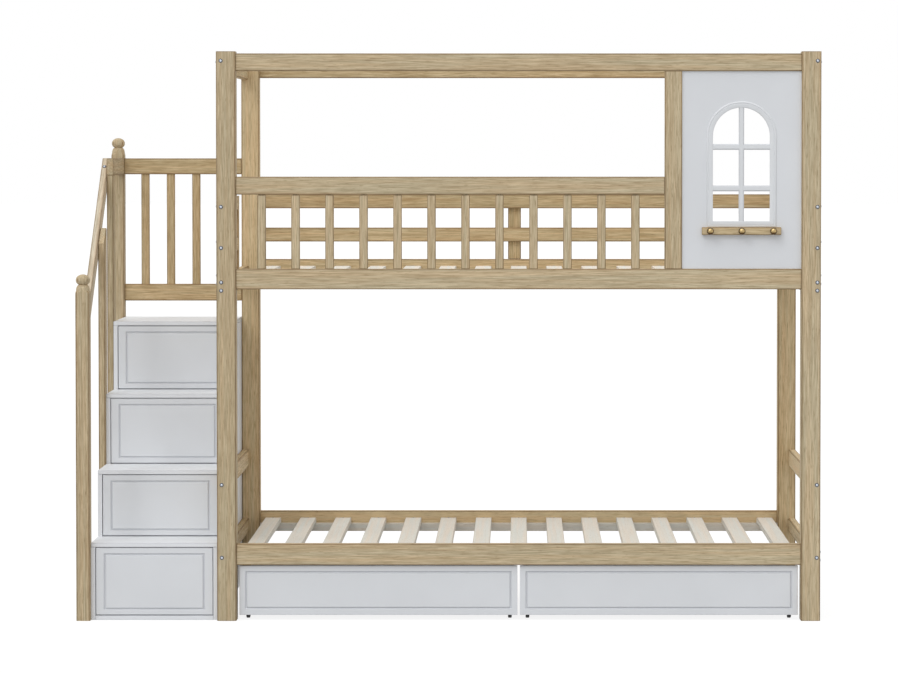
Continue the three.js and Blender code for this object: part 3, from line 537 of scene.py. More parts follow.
class Workpiece:
    """A mesh in the making. It ends as one object that rides on a body of the model."""

    def __init__(self, name: str, tone: float = 0.0) -> None:
        """Starts an empty mesh with the attributes that the finishes read.

        Args:
            name: the piece's name.
            tone: how much lighter than its wood it is, and below 0 how much darker.
        """
        self.name = name
        self.tone = tone
        self.mesh = bmesh.new()
        self.mesh.verts.layers.float_vector.new(TIMBER)
        self.mesh.verts.layers.float.new(TONE)
        self.mesh.faces.layers.float.new(EDGE)
        self.mesh.faces.layers.int.new(LAID)
        self.chance = random.Random(name)
        self.finishes: list[Finish] = []

    def fresh(self) -> list[BMFace]:
        """Gives the faces made since a finish was last laid on."""
        laid = self.mesh.faces.layers.int[LAID]
        return [face for face in self.mesh.faces if not face[laid]]

    def fresh_vertices(self) -> list[BMVert]:
        """Gives the vertices of the fresh faces."""
        return list(dict.fromkeys(vertex for face in self.fresh() for vertex in face.verts))

    def fresh_edges(self) -> list[BMEdge]:
        """Gives the edges of the fresh faces."""
        return list(dict.fromkeys(edge for face in self.fresh() for edge in face.edges))

    def lay_on(self, finish: Finish, along: Vector, across: Vector) -> None:
        """Lays a finish on the fresh faces and gives their vertices the board's own points.

        Args:
            finish: what the faces are made of.
            along: direction of the grain.
            across: direction across the grain on the board's wide side.
        """
        faces = self.fresh()
        vertices = self.fresh_vertices()
        through = along.cross(across)
        middle = sum((vertex.co for vertex in vertices), Vector()) / len(vertices)
        start = Vector([self.chance.uniform(*places) for places in LOG_PLACES])
        timber = self.mesh.verts.layers.float_vector[TIMBER]
        shade = self.mesh.verts.layers.float[TONE]
        tone = self.tone + self.chance.uniform(-TONE_SPREAD, TONE_SPREAD)
        for vertex in vertices:
            vertex[shade] = tone
            place = vertex.co - middle
            vertex[timber] = start + Vector((place.dot(along), place.dot(across), place.dot(through)))
        if finish not in self.finishes:
            self.finishes.append(finish)
        laid = self.mesh.faces.layers.int[LAID]
        for face in faces:
            face.material_index = self.finishes.index(finish)
            face[laid] = 1

    def mark(self, faces: Iterable[BMFace], shade: float) -> None:
        """Marks faces to be shaded as an edge, from 0 to 1."""
        edge = self.mesh.faces.layers.float[EDGE]
        for face in faces:
            face[edge] = shade

    def ease(self, edges: Iterable[BMEdge], radius: float, segments: int) -> None:
        """Rounds edges and marks the rounding for the finish's painted edge shade.

        Args:
            edges: the edges.
            radius: size of the rounding.
            segments: number of its facets.
        """
        faces = bmesh.ops.bevel(
            self.mesh, geom=list(edges), offset=radius, offset_type="OFFSET", segments=segments,
            profile=0.5, affect="EDGES", material=-1, clamp_overlap=True)["faces"]
        self.mark(faces, 1.0)
        for face in faces:
            face.smooth = segments > 1

    def shade_strip(self, width: float) -> None:
        """Marks a strip of this width inside the rim of each fresh flat face as part of the edge, for
        painted edge shade.
        """
        edge = self.mesh.faces.layers.float[EDGE]
        flat = [face for face in self.fresh() if face[edge] == 0]
        strips = bmesh.ops.inset_individual(
            self.mesh, faces=flat, thickness=width, depth=0, use_even_offset=True)["faces"]
        self.mark(strips, STRIP_SHADE)
        for face in strips:
            face.smooth = False

    def thicken(self, faces: Sequence[BMFace], reach: Vector) -> None:
        """Makes flat faces a solid that reaches from them to a moved copy of them."""
        grown = bmesh.ops.extrude_face_region(self.mesh, geom=faces)["geom"]
        moved = [part for part in grown if isinstance(part, BMVert)]
        bmesh.ops.translate(self.mesh, vec=reach, verts=moved)
        bmesh.ops.recalc_face_normals(self.mesh, faces=self.fresh())

    def block(self, room: Room) -> list[BMEdge]:
        """Makes a block that fills a room, and gives its edges. A finish is laid on it afterwards."""
        corners = bmesh.ops.create_cube(self.mesh, size=1.0)["verts"]
        bmesh.ops.scale(self.mesh, vec=room.size, verts=corners)
        bmesh.ops.translate(self.mesh, vec=room.centre, verts=corners)
        return list(dict.fromkeys(edge for corner in corners for edge in corner.link_edges))

    def board(self, room: Room, grain: Grain, finish: Finish, edging: Edging = EASED) -> None:
        """Makes a board that fills a room.

        Args:
            room: where it is.
            grain: which way its grain runs.
            finish: what it is made of.
            edging: how its edges are worked.
        """
        along = grain.value
        long = [edge for edge in self.block(room)
                if abs((edge.verts[0].co - edge.verts[1].co)[along]) > NEARLY]
        self.ease(long, edging.long, edging.segments)
        tips = (room.low[along], room.high[along])
        rims = [edge for edge in self.fresh_edges()
                if any(all(abs(v.co[along] - tip) < NEARLY for v in edge.verts) for tip in tips)]
        self.ease(rims, edging.ends, 1)
        if edging.shaded_strip:
            self.shade_strip(edging.shaded_strip)
        across = max((axis for axis in range(3) if axis != along), key=lambda axis: room.size[axis])
        self.lay_on(finish, AXES[along], AXES[across])

    def prism(self, room: Room, outline: Sequence[Pair], along: Vector, finish: Finish,
              edging: Edging) -> None:
        """Makes a board of any outline across X.

        Args:
            room: its room, which gives its thickness.
            outline: Y and Z of each corner.
            along: direction of its grain.
            finish: what it is made of.
            edging: how its edges are worked.
        """
        corners = [self.mesh.verts.new((room.low.x, y, z)) for y, z in outline]
        self.thicken([self.mesh.faces.new(corners)], X * room.size.x)
        # The edges of both wide sides: all but those that run along X.
        rims = [edge for edge in self.fresh_edges()
                if abs((edge.verts[0].co - edge.verts[1].co).normalized().dot(X)) < FACING]
        self.ease(rims, edging.long, edging.segments)
        if edging.shaded_strip:
            self.shade_strip(edging.shaded_strip)
        self.lay_on(finish, along, X.cross(along))

    def turn(self, profile: Sequence[Pair], base: Vector, axis: Vector, steps: int) -> None:
        """Turns a closed shape on a lathe. A finish is laid on it afterwards.

        Args:
            profile: radius and height of each point, from one end of the axis to the other.
            base: the foot of the axis.
            axis: direction of the axis.
            steps: facets round it.
        """
        side = axis.orthogonal().normalized()
        points = [self.mesh.verts.new(base + axis * height + side * radius) for radius, height in profile]
        lines = [self.mesh.edges.new(pair) for pair in zip(points, points[1:])]
        bmesh.ops.spin(self.mesh, geom=points + lines, cent=base, axis=axis, dvec=(0, 0, 0),
                       angle=2 * math.pi, steps=steps, use_merge=True, use_duplicate=False)
        bmesh.ops.remove_doubles(self.mesh, verts=self.fresh_vertices(), dist=MERGED)
        self.soften()

    def soften(self, crease: float = 35) -> None:
        """Turns the fresh faces outwards and shades them smooth, with edges sharp from crease degrees."""
        faces = self.fresh()
        bmesh.ops.recalc_face_normals(self.mesh, faces=faces)
        for face in faces:
            face.smooth = True
        for edge in self.fresh_edges():
            edge.smooth = edge.calc_face_angle(0) < math.radians(crease)

    def done(self, body: str, nodes: Sequence[str]) -> None:
        """Ends the piece.

        Args:
            body: the body that it rides on.
            nodes: the nodes that it stands for.
        """
        data = bpy.data.meshes.new(self.name)
        self.mesh.faces.layers.int.remove(self.mesh.faces.layers.int[LAID])
        self.mesh.to_mesh(data)
        self.mesh.free()
        for finish in self.finishes:
            data.materials.append(finish.material())
        piece = bpy.data.objects.new(self.name, data)
        bpy.context.scene.collection.objects.link(piece)
        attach(piece, body)
        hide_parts(*nodes)
        LOG.info("%s: %d faces on %s", self.name, len(data.polygons), body)


def lone_board(name: str, node: str, grain: Grain, finish: Finish, edging: Edging = EASED,
               tone: float = 0.0, **spans: Span) -> None:
    """Makes a piece of the frame that is one board in the room of its node.

    Args:
        name: the piece's name.
        node: the node that it stands for.
        grain: which way its grain runs.
        finish: what it is made of.
        edging: how its edges are worked.
        tone: how much lighter than its wood it is.
        spans: where it leaves the room of its node.
    """
    work = Workpiece(name, tone)
    work.board(Room.of(node).cut(**spans), grain, finish, edging)
    work.done(FRAME, [node])


class Assembly(ABC):
    """A group of pieces that are made together."""

    @abstractmethod
    def build(self) -> None:
        """Makes its pieces."""


@dataclass
class BunkFrame(Assembly):
    """The posts and rails: one eased board for each node."""

    wood: Timber = OAK
    shaded_wood: Timber = SHADED_OAK
    # Each board's tone, lighter above 0: lower_deck_rail_left is darker as painted shade, and
    # lower_deck_rail_back and head_rail are lighter as painted light inside the bunk.
    tones_and_painted_light: dict[str, float] = field(default_factory=lambda: {
        "post_back_left": 0.18, "post_back_right": 0.2, "lower_deck_rail_back": 0.55, "head_rail": 0.6,
        "lower_deck_rail_left": -0.4, "lower_deck_rail_right": 0.15, "lower_deck_rail_front": 0.08,
        "post_front_left": -0.2, "window_stile": -0.1, "right_guard_rail_upper": -0.08,
        "right_guard_rail_lower": -0.08})

    def build(self) -> None:
        """Makes the four posts, the sixteen rails and end boards, and the window stile."""
        levels = ("top_rail", "upper_deck_rail", "lower_deck_rail")
        # The back row and the end boards take the warmer shaded copy of the oak, as painted shade.
        for row in ("front", "back"):
            wood = self.wood if row == "front" else self.shaded_wood
            for side in ("left", "right"):
                self.rail(f"post_{row}_{side}", Grain.Z, wood)
            for level in levels:
                self.rail(f"{level}_{row}", Grain.X, wood)
        end_rails = [f"{level}_{side}" for side in ("left", "right") for level in levels]
        end_rails += ["foot_rail", "head_rail", "right_guard_rail_upper", "right_guard_rail_lower"]
        for node in end_rails:
            self.rail(node, Grain.Y, self.shaded_wood)
        self.rail("window_stile", Grain.Z, self.wood)

    def rail(self, node: str, grain: Grain, wood: Timber) -> None:
        """Makes one board in the room of its node."""
        lone_board(f"{node}_oak", node, grain, wood, tone=self.tones_and_painted_light.get(node, 0.0))


@dataclass
class SlatBase(Assembly):
    """Slats across two cleats."""

    node: str
    count: int = 15
    end_gap: float = 0.0185
    width: float = 0.059
    thickness: float = 0.019
    cleat_depth: float = 0.025
    screw: Pair = (0.0034, 0.0013)  # radius and height of its head
    screw_steps: int = 12
    wood: Timber = CREAM
    # How much lighter the slats are; on the upper slat base it is painted light.
    tone: float = 0.0

    def build(self) -> None:
        """Makes the cleats and the slats in one piece."""
        room = Room.of(self.node)
        work = Workpiece(f"{self.node}_pine", self.tone)
        under = room.high.z - self.thickness
        for span in ends(room.span("y"), self.cleat_depth):
            work.board(room.cut(y=span, z=(room.low.z, under)), Grain.X, self.wood, PLAIN)
        start, end = inset(inset(room.span("x"), -JOINT_GAP), self.end_gap)
        for span in even_spans(start, end, self.count, self.width):
            work.board(room.cut(x=span, z=(under, room.high.z)), Grain.Y, self.wood, PLAIN)
            for y in inset(room.span("y"), self.cleat_depth / 2):
                self.screw_head(work, Vector((sum(span) / 2, y, room.high.z)))
        work.done(FRAME, [self.node])

    def screw_head(self, work: Workpiece, place: Vector) -> None:
        """Turns the head of a screw that holds a slat on its cleat."""
        radius, height = self.screw
        profile = [
            (0, -LET_IN), (radius, -LET_IN), (radius, height * 0.2), (radius * 0.6, height * 0.9),
            (radius * 0.35, height), (radius * 0.2, height * 0.3), (0, height * 0.3)]
        work.turn(profile, place, Z, self.screw_steps)
        work.lay_on(STEEL, Z, X)


@dataclass
class Guards(Assembly):
    """The slatted guards of the upper bunk and of the staircase."""

    front_rail_height: float = 0.061
    baluster: Pair = (0.029, 0.018)  # width and depth
    baluster_count: int = 12
    shoulder: float = 0.0045
    shoulder_gap: float = 0.0022
    tenon: float = 0.002
    first_gap: float = 0.073
    last_gap: float = 0.085
    side_rail_height: float = 0.052
    back_rail_thickness: float = 0.018
    back_stile: Span = (0.2008, 0.2488)
    back_lower_drop: float = 0.124
    back_tone: float = -0.08
    end_lower_drop: float = 0.144
    entry_stile: float = 0.044
    stair_rails: Pair = (0.059, 0.062)  # heights of the upper and the lower one
    stair_baluster: Pair = (0.0297, 0.016)  # width and depth
    stair_baluster_count: int = 4
    stair_gaps: Pair = (0.0617, 0.0588)  # before the first baluster and after the last
    stair_tone: float = -0.1

    def build(self) -> None:
        """Makes the four guards."""
        self.front()
        self.back()
        self.left()
        self.stair()

    def front(self) -> None:
        """Makes the front guard: a rail over twelve balusters with their tenons."""
        room = Room.of("front_guard")
        work = Workpiece("front_guard_oak")
        rail_foot = room.high.z - self.front_rail_height
        work.board(room.cut(z=(rail_foot, room.high.z)), Grain.X, OAK)
        width, depth = self.baluster
        start, end = inset(room.span("x"), -JOINT_GAP)
        y = about(room.centre.y, depth)
        shoulder = rail_foot - self.shoulder_gap
        spans = even_spans(start + self.first_gap, end - self.last_gap, self.baluster_count, width)
        for span in spans:
            work.board(room.cut(x=span, y=y, z=(room.low.z, shoulder)), Grain.Z, OAK, SLIM)
        for span in spans:
            tenon = room.cut(x=inset(span, self.shoulder), y=inset(y, self.shoulder),
                             z=(shoulder - LET_IN, rail_foot + self.tenon))
            work.board(tenon, Grain.Z, OAK, CRISP)
        work.done(FRAME, ["front_guard"])

    def back(self) -> None:
        """Makes the back guard: two rails and the stile behind them."""
        room = Room.of("back_guard")
        work = Workpiece("back_guard_oak", self.back_tone)
        rails, _ = ends(room.span("y"), self.back_rail_thickness)
        for top in (room.high.z, room.high.z - self.back_lower_drop):
            work.board(room.cut(y=rails, z=(top - self.side_rail_height, top)), Grain.X, SHADED_OAK)
        work.board(room.cut(x=self.back_stile, y=(rails[1], room.high.y)), Grain.Z, SHADED_OAK)
        work.done(FRAME, ["back_guard"])

    def left(self) -> None:
        """Makes the left guard: two short rails and the stile beside the entry."""
        room = Room.of("left_guard")
        work = Workpiece("left_guard_oak")
        _, stile = ends(room.span("y"), self.entry_stile)
        work.board(room.cut(y=stile), Grain.Z, SHADED_OAK)
        for top in (room.high.z, room.high.z - self.end_lower_drop):
            span = room.cut(y=(room.low.y, stile[0]), z=(top - self.side_rail_height, top))
            work.board(span, Grain.Y, SHADED_OAK)
        work.done(FRAME, ["left_guard"])

    def stair(self) -> None:
        """Makes the guard at the back of the staircase: two rails and four balusters."""
        room = Room.of("stair_guard")
        work = Workpiece("stair_guard_oak", self.stair_tone)
        top = room.high.z - self.stair_rails[0]
        foot = room.low.z + self.stair_rails[1]
        work.board(room.cut(z=(top, room.high.z)), Grain.X, SHADED_OAK)
        work.board(room.cut(z=(room.low.z, foot)), Grain.X, SHADED_OAK)
        width, depth = self.stair_baluster
        y = about(room.centre.y, depth)
        start, end = room.low.x + self.stair_gaps[0], room.high.x - self.stair_gaps[1]
        for span in even_spans(start, end, self.stair_baluster_count, width):
            z = inset((foot, top), -self.tenon)
            work.board(room.cut(x=span, y=y, z=z), Grain.Z, SHADED_OAK, SLIM)
        work.done(FRAME, ["stair_guard"])


@dataclass
class WindowPanel(Assembly):
    """The white panel with its arched window, moulding and glazing bars."""

    thickness: float = 0.015
    from_post: float = 0.205
    width: float = 0.195
    sill_rise: float = 0.1625
    crown_drop: float = 0.1245
    upright: float = 0.018
    cross: float = 0.020
    upper_bar_drop: float = 0.0365
    lower_bar_share: float = 0.442
    bar_setback: float = 0.0012
    cross_setback: float = 0.0002
    moulding: float = 0.022
    foot: float = 0.020
    steps: int = 24
    crease: float = 40
    paint: Paint = WHITE
    trim: Paint = TRIM_WHITE
    bar_edging: Edging = Edging(0.0045, 0.0008, 3)
    room: Room = field(init=False)
    middle: float = field(init=False)
    sill: float = field(init=False)
    spring: float = field(init=False)

    def build(self) -> None:
        """Makes the panel in one piece."""
        self.room = Room.of("window_panel")
        self.middle = self.room.high.x + JOINT_GAP - self.from_post
        self.sill = self.room.low.z - JOINT_GAP + self.sill_rise
        self.spring = self.room.high.z + JOINT_GAP - self.crown_drop - self.width / 2
        work = Workpiece("window_panel_white")
        self.sheet(work)
        self.bead(work)
        self.bars(work)
        work.done(FRAME, ["window_panel"])

    def arch(self, work: Workpiece, margin: float, foot: float, y: float) -> list[BMEdge]:
        """Draws the window's outline as a closed loop.

        Args:
            work: the piece that it is drawn in.
            margin: how far it lies outside the window.
            foot: height of its straight bottom.
            y: depth of its plane.

        Returns:
            The loop's edges.
        """
        before = set(work.mesh.edges)
        radius = self.width / 2 + margin
        right = work.mesh.verts.new((self.middle + radius, y, self.spring))
        turned = bmesh.ops.spin(
            work.mesh, geom=[right], cent=(self.middle, y, self.spring), axis=(0, -1, 0), dvec=(0, 0, 0),
            angle=math.pi, steps=self.steps, use_merge=False, use_duplicate=False)["geom_last"]
        left = next(part for part in turned if isinstance(part, BMVert))
        feet = [work.mesh.verts.new((self.middle + side * radius, y, foot)) for side in (1, -1)]
        for pair in ((feet[0], right), (feet[1], left), feet):
            work.mesh.edges.new(pair)
        return [edge for edge in work.mesh.edges if edge not in before]

    def sheet(self, work: Workpiece) -> None:
        """Makes the flat sheet round the opening."""
        face = self.room.high.y - self.thickness
        (left, right), (low, high) = self.room.span("x"), self.room.span("z")
        places = ((left, low), (right, low), (right, high), (left, high))
        corners = [work.mesh.verts.new((x, face, z)) for x, z in places]
        rim = [work.mesh.edges.new(pair) for pair in zip(corners, corners[1:] + corners[:1])]
        hole = self.arch(work, 0, self.sill, face)
        filled = bmesh.ops.triangle_fill(
            work.mesh, edges=rim + hole, use_beauty=True, use_dissolve=False, normal=-Y)["geom"]
        work.thicken([part for part in filled if isinstance(part, BMFace)], Y * self.thickness)
        work.lay_on(self.paint, Z, X)

    def bead(self, work: Workpiece) -> None:
        """Makes the raised moulding round the window as a closed ring."""
        back = self.room.high.y - self.thickness + LET_IN
        front = self.room.low.y
        # Each loop: how far out on the moulding, as a share of its width, and its plane.
        section = (
            (0.0, back), (0.0, front + 0.0014), (0.05, front + 0.0005), (0.14, front), (0.58, front),
            (0.65, front + 0.0014), (0.72, front + 0.0002), (0.82, front), (0.92, front + 0.0008),
            (1.0, front + 0.0024), (1.0, back))
        loops = [self.arch(work, share * self.moulding, self.sill - share * self.foot, y)
                 for share, y in section]
        for first, second in zip(loops, loops[1:] + loops[:1]):
            bmesh.ops.bridge_loops(work.mesh, edges=first + second)
        work.soften(self.crease)
        work.lay_on(self.trim, Z, X)

    def bars(self, work: Workpiece) -> None:
        """Makes the upright bar and the two cross bars."""
        radius = self.width / 2
        y = (self.room.low.y + self.bar_setback, self.room.high.y)
        crown = self.spring + math.sqrt(radius ** 2 - (self.upright / 2) ** 2)
        upright = about(self.middle, self.upright)
        bar = self.room.cut(x=upright, y=y, z=(self.sill - LET_IN, crown + 2 * LET_IN))
        work.board(bar, Grain.Z, self.trim, self.bar_edging)
        upper = self.spring - self.upper_bar_drop
        lower = self.sill + self.lower_bar_share * (upper - self.sill)
        across = inset(about(self.middle, self.width), -LET_IN)
        behind = inset(y, self.cross_setback)
        for level in (upper, lower):
            bar = self.room.cut(x=across, y=behind, z=about(level, self.cross))
            work.board(bar, Grain.X, self.trim, self.bar_edging)


@dataclass
class PegRail(Assembly):
    """The rail under the window and its three knobs."""

    rail_tone: float = 0.12
    ball: float = 0.0122
    stem: float = 0.005
    flange: float = 0.0085
    flange_thickness: float = 0.002
    reach: float = 0.028
    steps: int = 32
    ball_steps: int = 14
    # Where the knob's rim and underside are darkened as a painted dark reflection: on the rim past a facing
    # cosine, and underneath past a slope.
    polished: float = 0.74
    dark_rim_fade: float = 0.3
    underside_from: float = 0.1
    underside_rise: float = 2.5

    def build(self) -> None:
        """Makes the rail and the knobs."""
        lone_board("peg_rail_oak", "peg_rail", Grain.X, SHADED_OAK, SLIM, self.rail_tone)
        for number in (1, 2, 3):
            self.knob(f"peg_knob_{number}")

    def knob(self, node: str) -> None:
        """Turns one knob: flange, waisted stem and ball, darkened round its rim and underneath as a painted
        dark reflection.
        """
        room = Room.of(node)
        meet = math.asin(self.stem / self.ball)
        profile = [
            (0, 0), (self.flange, 0), (self.flange, self.flange_thickness * 0.6),
            (self.flange * 0.92, self.flange_thickness), (self.stem * 1.25, self.flange_thickness * 1.3),
            (self.stem, self.flange_thickness * 1.8),
            *ball_profile((self.ball, self.ball), self.reach - self.ball, meet, self.ball_steps)]
        work = Workpiece(f"{node}_brass")
        base = Vector((room.centre.x, room.high.y, room.centre.z))
        work.turn(profile, base, -Y, self.steps)
        # The rim and the underside are marked dark, a painted dark reflection on the brass.
        for face in work.fresh():
            rim = max(0.0, (self.polished + face.normal.y) / self.dark_rim_fade)
            underside = max(0.0, -face.normal.z - self.underside_from) * self.underside_rise
            work.mark([face], min(1.0, rim + underside))
        work.lay_on(BRASS, Y, X)
        work.done(FRAME, [node])


@dataclass
class Staircase(Assembly):
    """The white carcass: stepped sides, treads, base and back."""

    board: float = 0.015
    count: int = 4
    housing: float = 0.001
    paint: Paint = LIT_WHITE

    def build(self) -> None:
        """Makes the carcass's eight boards."""
        for side in ("left", "right"):
            self.side(f"stair_side_{side}")
        for number in range(1, self.count + 1):
            self.tread(number)
        for node, grain in (("stair_base", Grain.X), ("stair_back", Grain.Z)):
            lone_board(f"{node}_white", node, grain, self.paint, CRISP)

    def side(self, node: str) -> None:
        """Makes one stepped side panel."""
        room = Room.of(node)
        treads = [Room.of(f"tread_{number}") for number in range(1, self.count + 1)]
        outline = [(treads[0].low.y, room.low.z)]
        for tread, end in zip(treads, [tread.low.y for tread in treads[1:]] + [room.high.y]):
            under = tread.low.z - JOINT_GAP
            outline += [(tread.low.y, under), (end, under)]
        outline.append((room.high.y, room.low.z))
        work = Workpiece(f"{node}_white")
        work.prism(room, outline, Z, self.paint, CRISP)
        work.done(FRAME, [node])

    def tread(self, number: int) -> None:
        """Makes one tread: a nose over the side panels and a shelf behind it between them."""
        node = f"tread_{number}"
        room = Room.of(node)
        work = Workpiece(f"{node}_white")
        if number == self.count:
            work.board(room, Grain.X, self.paint, NOSING)
        else:
            nose_end = Room.of(f"tread_{number + 1}").low.y - JOINT_GAP
            work.board(room.cut(y=(room.low.y, nose_end)), Grain.X, self.paint, NOSING)
            inside = inset(room.span("x"), self.board + JOINT_GAP)
            shelf = room.cut(x=inside, y=(nose_end - self.housing, room.high.y))
            work.board(shelf, Grain.X, self.paint, CRISP)
        work.done(FRAME, [node])


@dataclass
class StairRail(Assembly):
    """The turned newels, the sloped handrail, the side balusters and the level rail."""

    slope: float = math.radians(43.6)
    depth: float = 0.052
    level_length: float = 0.040
    baluster_depth: float = 0.057
    bolt_back: float = 0.072
    tone: float = -0.15
    handrail_painted_light: float = 0.15
    newel: float = 0.047
    ease: float = 0.003
    corner_shade_turn: float = 7.0
    corner_shade: float = 0.9
    runout: float = 0.010
    # Each point under the shoulder: its share of the square's half width, and how far down it lies.
    cove: tuple[Pair, ...] = ((1.36, 0.0085), (1.22, 0.0045), (1.08, 0.0014), (1.0, 0.0))
    shoulder: float = 0.020
    shoulder_steps: int = 8
    neck: float = 0.014
    ball: Pair = (0.0243, 0.0198)  # radius across the axis and along it
    ball_rise: float = 0.003
    ball_steps: int = 18
    steps: int = 96
    crease: float = 28

    def build(self) -> None:
        """Makes the staircase's oak rail."""
        self.turned_newel("newel_front")
        self.turned_newel("newel_back")
        self.handrail()
        self.lower_baluster()
        foot = Room.of("side_baluster_upper").low.y
        self.rail("side_baluster_upper", Grain.Z, y=(foot, foot + self.baluster_depth))
        self.rail("platform_rail", Grain.Y)

    def rail(self, node: str, grain: Grain, **spans: Span) -> None:
        """Makes one straight board for a node."""
        lone_board(f"{node}_oak", node, grain, OAK, tone=self.tone, **spans)

    def profile(self, top: float) -> list[Pair]:
        """Gives the turning's radius and height from the floor to the ball's top.

        Args:
            top: height of the ball's top.

        Returns:
            The points. Below the shoulder they lie outside the square's corners.
        """
        half = self.newel / 2
        start = math.asin(self.neck / self.ball[0])
        centre = top - self.ball[1]
        shoulder = centre - self.ball[1] * math.cos(start) - self.shoulder
        points = [(0, 0), (self.newel, 0), (self.newel, shoulder - self.runout)]
        points += [(half * share, shoulder - drop) for share, drop in self.cove]
        for i in range(1, self.shoulder_steps + 1):
            angle = i / self.shoulder_steps * math.pi / 2
            radius = self.neck + (half - self.neck) * math.cos(angle)
            points.append((radius, shoulder + self.shoulder * math.sin(angle)))
        return points + ball_profile(self.ball, centre, start, self.ball_steps)[1:]

    def turned_newel(self, node: str) -> None:
        """Turns a newel, whose square stands where the turning is wider than it."""
        room = Room.of(node)
        work = Workpiece(f"{node}_oak", self.tone)
        base = Vector((room.centre.x, room.centre.y, room.low.z))
        work.turn(self.profile(room.size.z + self.ball_rise), base, Z, self.steps)
        corner = math.sqrt(2) * (self.newel / 2 - self.ease) + self.ease
        for vertex in work.fresh_vertices():
            x, y = vertex.co.x - base.x, vertex.co.y - base.y
            radius = math.hypot(x, y)
            outline = min(polygon_radius(math.atan2(y, x), 4, self.newel / 2), corner)
            if radius > outline:
                vertex.co.x = base.x + x * outline / radius
                vertex.co.y = base.y + y * outline / radius
        work.soften(self.crease)
        # Faces on the square's corners are marked to be darkened, a painted shade line along each corner.
        for face in work.fresh():
            place = face.calc_center_median() - base
            # The square's corners lie at 45 degrees in each quarter turn.
            turned = math.degrees(math.atan2(place.y, place.x)) % 90
            if abs(turned - 45) < self.corner_shade_turn and math.hypot(place.x, place.y) > self.newel / 2:
                work.mark([face], self.corner_shade)
        work.lay_on(OAK, Z, X)
        work.done(FRAME, [node])

    def handrail(self) -> None:
        """Makes the sloped handrail, cut level at its upper end."""
        room = Room.of("handrail")
        rise = math.tan(self.slope)
        drop = self.depth / math.cos(self.slope)
        corner = room.high.y - self.level_length

        def top(y: float) -> float:
            """Gives the height of the rail's sloped top."""
            return room.high.z - (corner - y) * rise

        outline = (
            (room.low.y, top(room.low.y) - drop), (room.high.y, top(room.high.y) - drop),
            (room.high.y, room.high.z), (corner, room.high.z), (room.low.y, top(room.low.y)))
        along = Vector((0, math.cos(self.slope), math.sin(self.slope)))
        # The handrail takes the lighter copy of the oak and a lighter tone, painted light on its top.
        work = Workpiece("handrail_oak", self.handrail_painted_light)
        work.prism(room, outline, along, LIT_OAK, EASED)
        y = room.high.y - self.bolt_back
        upwards = Vector((0, -math.sin(self.slope), math.cos(self.slope)))
        BoltHeads().head(work, Vector((room.centre.x, y, top(y))), upwards)
        work.done(FRAME, ["handrail"])

    def lower_baluster(self) -> None:
        """Makes the lower side baluster, whose top follows the handrail."""
        room = Room.of("side_baluster_lower")
        low_top = room.high.z - room.size.y * math.tan(self.slope)
        back = room.low.y + self.baluster_depth
        high_top = low_top + self.baluster_depth * math.tan(self.slope)
        outline = ((room.low.y, room.low.z), (back, room.low.z), (back, high_top), (room.low.y, low_top))
        work = Workpiece("side_baluster_lower_oak", self.tone)
        work.prism(room, outline, Z, OAK, EASED)
        work.done(FRAME, ["side_baluster_lower"])


@dataclass
class Drawer(Assembly):
    """What every drawer has: a grooved front on an open box."""

    wall: float = 0.012
    floor: float = 0.006
    groove: Pair = (0.0085, 0.004)  # width and depth
    overlap: float = 0.0009
    front_edge: float = 0.001
    paint: Paint = WHITE
    box_paint: Paint = LIT_WHITE

    def front(self, work: Workpiece, room: Room, insets: Triple) -> None:
        """Makes a flat front with a V groove round its face.

        Args:
            work: the piece that it belongs to.
            room: where it is.
            insets: from the front's sides, top and bottom to the groove's middle.
        """
        room = room.cut(x=inset(room.span("x"), -self.overlap), z=(room.low.z, room.high.z + self.overlap))
        work.ease(work.block(room), self.front_edge, 2)
        side, top, bottom = insets
        half = self.groove[0] / 2
        for place, normal in (
                (room.low.x + side - half, X), (room.high.x - side + half, X),
                (room.high.z - top + half, Z), (room.low.z + bottom - half, Z)):
            geometry = work.fresh_vertices() + work.fresh_edges() + work.fresh()
            bmesh.ops.bisect_plane(work.mesh, geom=geometry, plane_co=normal * place, plane_no=normal)
        forward = [face for face in work.fresh() if -face.normal.y > FACING]
        panel = max(forward, key=lambda face: face.calc_area())
        # The groove's slopes are marked as edge, so the paint darkens them as painted shade in the recess.
        for depth in (-self.groove[1], self.groove[1]):
            slopes = bmesh.ops.inset_region(
                work.mesh, faces=[panel], thickness=half, depth=depth, use_even_offset=True,
                use_boundary=True)["faces"]
            work.mark(slopes, 1.0)
        work.lay_on(self.paint, X, Z)

    def box(self, work: Workpiece, room: Room, floor_lift: float) -> None:
        """Makes an open box of two sides, front, back and bottom.

        Args:
            work: the piece that it belongs to.
            room: where it is.
            floor_lift: from the sides' bottom edges to the bottom board.
        """
        inside_x, inside_y = (inset(room.span(axis), self.wall) for axis in "xy")
        for x in ends(room.span("x"), self.wall):
            work.board(room.cut(x=x), Grain.Y, self.box_paint, CRISP)
        for y in ends(room.span("y"), self.wall):
            work.board(room.cut(x=inside_x, y=y), Grain.X, self.box_paint, CRISP)
        floor = (room.low.z + floor_lift, room.low.z + floor_lift + self.floor)
        work.board(room.cut(x=inside_x, y=inside_y, z=floor), Grain.X, self.box_paint, CRISP)


@dataclass
class StepDrawer(Drawer):
    """A drawer in the staircase."""

    number: int = 1
    thickness: float = 0.015
    foot: float = 0.0025
    headroom: float = 0.040
    floor_lift: float = 0.010
    insets: Triple = (0.0305, 0.023, 0.020)  # from the sides, the top and the bottom

    def build(self) -> None:
        """Makes the drawer in one piece on its own body."""
        node = f"step_drawer_{self.number}"
        room = Room.of(node)
        face = room.low.y + self.thickness
        work = Workpiece(f"{node}_white")
        front = room.cut(y=(room.low.y, face), z=(room.low.z + self.foot, room.high.z))
        self.front(work, front, self.insets)
        box = room.cut(y=(face, room.high.y), z=(room.low.z, room.high.z - self.headroom))
        self.box(work, box, self.floor_lift)
        work.done(node, [node])


